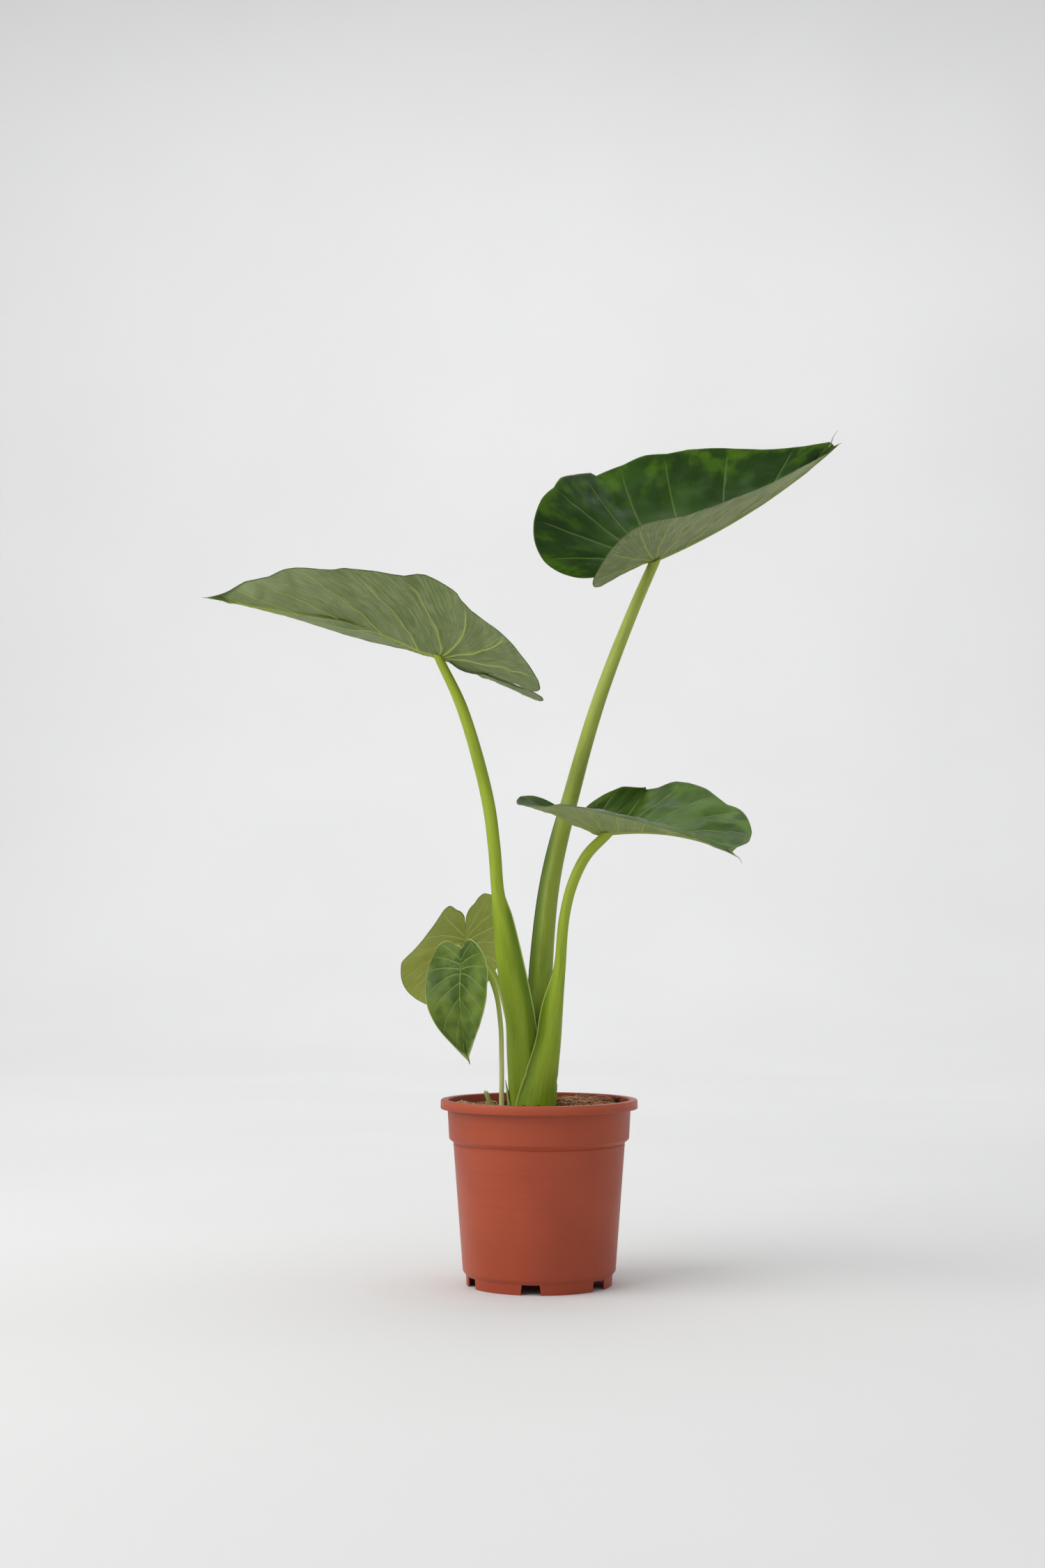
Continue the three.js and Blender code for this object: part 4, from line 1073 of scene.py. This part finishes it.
def make_ground():
    peat_look = ground_material("peat_look", (54, 28, 18), (116, 64, 42), scale=300.0, bump=0.002)
    bark_look = ground_material("bark_look", (62, 38, 24), (108, 72, 46), scale=200.0)
    make_soil(ground_material("soil_look", (44, 26, 18), (88, 56, 40)))
    rng = random.Random(11)
    shapes = []
    for i in range(330):
        a, r = rng.uniform(0, 2 * math.pi), SOIL_EDGE * math.sqrt(rng.random()) * 0.96
        x, y = around(r, a)
        size = rng.uniform(0.8, 2.6)
        shapes.append(lump((x, y, soil_height(x, y) + size * 0.3), (size * 1.2, size, size * 0.8), i,
                           level=2, rough=0.7, fine=0.3, turn=a))
    new_piece("soil_crumbs", *gather(shapes), peat_look, "soil")
    for name, angular in (("bark_chip_1", 0.5), ("bark_chip_2", 0.6), ("bark_chip_3", 0.5)):
        c, half = centre_of(name)
        chip = lump(c, half * 0.93, ord(name[-1]), level=4, rough=0.25, fine=0.2, angular=angular)
        new_piece(name + "_piece", *chip, bark_look, "bark", [name], sharp=50)
    clump, half = centre_of("peat_clump")
    shapes = [lump(clump, half * 0.86, 5, level=5, rough=0.5, fine=0.45)]
    for i in range(26):
        a, lift = rng.uniform(0, 2 * math.pi), rng.uniform(-0.2, 0.9)
        spot = clump + half * np.array([math.cos(a) * 0.8, math.sin(a) * 0.8, lift]) * rng.uniform(0.6, 1.0)
        size = rng.uniform(1.2, 3.0)
        shapes.append(lump(spot, (size, size * 0.9, size * 0.8), 50 + i, level=3, rough=0.7, fine=0.4))
    new_piece("peat_clump_crumb", *gather(shapes), peat_look, "peat", ["peat_clump"])
    coir_look = fibre_material("coir_look", (142, 82, 52), (255, 212, 168))
    (x, y, _), half = centre_of("coir_tuft_right")
    spots = [(x, y, half[0] * 0.5, half[1] * 0.6, 7.5)] * 5 + [(clump[0] - 10, clump[1] - 12, 8, 4, 2.2)]
    make_fibres("coir_right_strands", coir_look, spots, 300, 21, ["coir_tuft_right"], radius=(0.2, 0.5))
    (x, y, _), half = centre_of("coir_tuft_left")
    z = soil_height(x + 22, y)
    upright = [((x + 24, y + 4, z), 0.4, 7, 0.3, 9.0), ((x + 27, y + 6, z), 1.1, 6, 0.26, 10.5),
               ((x + 22, y + 1, z), 2.6, 8, 0.3, 5.0)]
    spots = [(x, y, half[0] * 0.5, half[1] * 0.6, 4.6)] * 2 + [(x + 16, y - 6, 8, 6, 1.6)]
    make_fibres("coir_left_strands", coir_look, spots, 150, 22, ["coir_tuft_left"], extra=upright)
    make_fibres("soil_rootlets", fibre_material("root_look", (74, 50, 32), (150, 116, 78)),
                [(*AXIS, 38, 38, 1.0)], 210, 23, [], length=(6, 22), radius=(0.12, 0.3))


# ---------- the stub and the dry scale ----------

STUB_HEIGHT, STUB_ROOT, STUB_SIDES = 18, 17, 20


def make_stub(material):
    """A cut-off stalk: a tapered tube whose end is sliced and hollowed."""
    x, y = -48 + AXIS[0], -20 + AXIS[1]
    path = spline([(x + 3, y + 1, SOIL_TOP - STUB_ROOT), (x + 3, y + 1, SOIL_TOP),
                   (x, y, SOIL_TOP + STUB_HEIGHT / 2), (x - 3, y - 1, SOIL_TOP + STUB_HEIGHT)],
                  np.linspace(0, 1, 26))
    verts, faces = [], []
    tube(path, np.linspace(2.5, 2.05, 26), STUB_SIDES, verts, faces)
    faces.pop()
    end, along = path[-1], path[-1] - path[-2]
    along = along / np.linalg.norm(along)
    for k in range(STUB_SIDES):
        a = 2 * math.pi * k / STUB_SIDES
        verts[k - STUB_SIDES] = verts[k - STUB_SIDES] + along * (0.9 * math.cos(a) + 0.25 * math.sin(7 * a))
    rim = verts[-STUB_SIDES:]
    for share, sink in ((0.8, 0.15), (0.55, 1.1), (0.25, 1.5)):
        join(faces, len(verts) - STUB_SIDES, len(verts), STUB_SIDES)
        verts.extend(end + (p - end) * share - along * sink for p in rim)
    faces.append([len(verts) - STUB_SIDES + k for k in range(STUB_SIDES)])
    zs = np.array([v[2] for v in verts])
    attrs = {"rise": np.clip((zs - SOIL_TOP) / STUB_HEIGHT, 0, 1),
             "margin": (zs > SOIL_TOP + STUB_HEIGHT - 0.6) * 0.9, "shade": 0 * zs,
             "grain": [(i % STUB_SIDES * 1.0, z, 0) for i, z in enumerate(zs)]}
    new_piece("cut_petiole_stub_skin", verts, faces, material, "stalk", ["cut_petiole_stub"], attrs, sharp=60)


SCALE_ROWS, SCALE_COLUMNS = 26, 18
SCALE_TURN, SCALE_SPAN, SCALE_THICK = -4, 34, 0.55


def make_scale(material):
    """A thin dry leaf scale that hugs the foot of the left stalk."""
    base_z, top_z = SOIL_TOP - 8, box_mm("dry_sheath_scale")[1][2]
    rows = stalk_path("petiole_left")[0][:4]
    verts, faces, attrs = [], [], {k: [] for k in ("rise", "grain", "margin", "shade")}
    nz, na = SCALE_ROWS, SCALE_COLUMNS
    for thick in (0.0, SCALE_THICK):
        for i in range(nz + 1):
            t = i / nz
            z = base_z + (top_z - base_z) * t
            share = np.interp(z, rows[:, 2], np.arange(4))
            cx, cy, w, d = (np.interp(share, np.arange(4), rows[:, c]) for c in (0, 1, 3, 4))
            span = (1.0 - t ** 2.4) * SCALE_SPAN * DEG + 1.5 * DEG
            for k in range(na + 1):
                a = math.pi + SCALE_TURN * DEG + (k / na - 0.5) * 2 * span
                off = 0.7 + thick * (1 - t * 0.5) + 1.6 * t ** 2 + 0.25 * math.sin(k * 1.9 + i * 0.4)
                verts.append((cx + (w + off) * math.cos(a), cy + (d + off) * math.sin(a), z))
                attrs["rise"].append(t)
                attrs["grain"].append((k * 1.2, z, 0))
                attrs["margin"].append(1.0 if k in (0, na) or i == nz else 0.0)
                attrs["shade"].append(0.0)
    row = na + 1
    layer = row * (nz + 1)
    for i in range(nz):
        for a in range(i * row, i * row + na):
            faces.append([a, a + row, a + row + 1, a + 1])
            a += layer
            faces.append([a, a + 1, a + row + 1, a + row])
    ring = [i * row for i in range(nz + 1)] + [nz * row + k for k in range(1, row)]
    ring += [i * row + na for i in range(nz - 1, -1, -1)] + list(range(na - 1, 0, -1))
    faces += [[a, a + layer, b + layer, b] for a, b in zip(ring, ring[1:] + ring[:1])]
    new_piece("dry_sheath_scale_skin", verts, faces, material, "dry_scale", ["dry_sheath_scale"], attrs)


make_pot(pot_material())
make_ground()
make_stub(stalk_material("stub_look", (150, 168, 84), (176, 192, 108), (124, 140, 66), (200, 210, 140),
                         (216, 216, 160)))
make_scale(stalk_material("scale_look", (164, 184, 96), (178, 190, 112), (132, 150, 72), (200, 206, 138),
                          (214, 208, 150)))
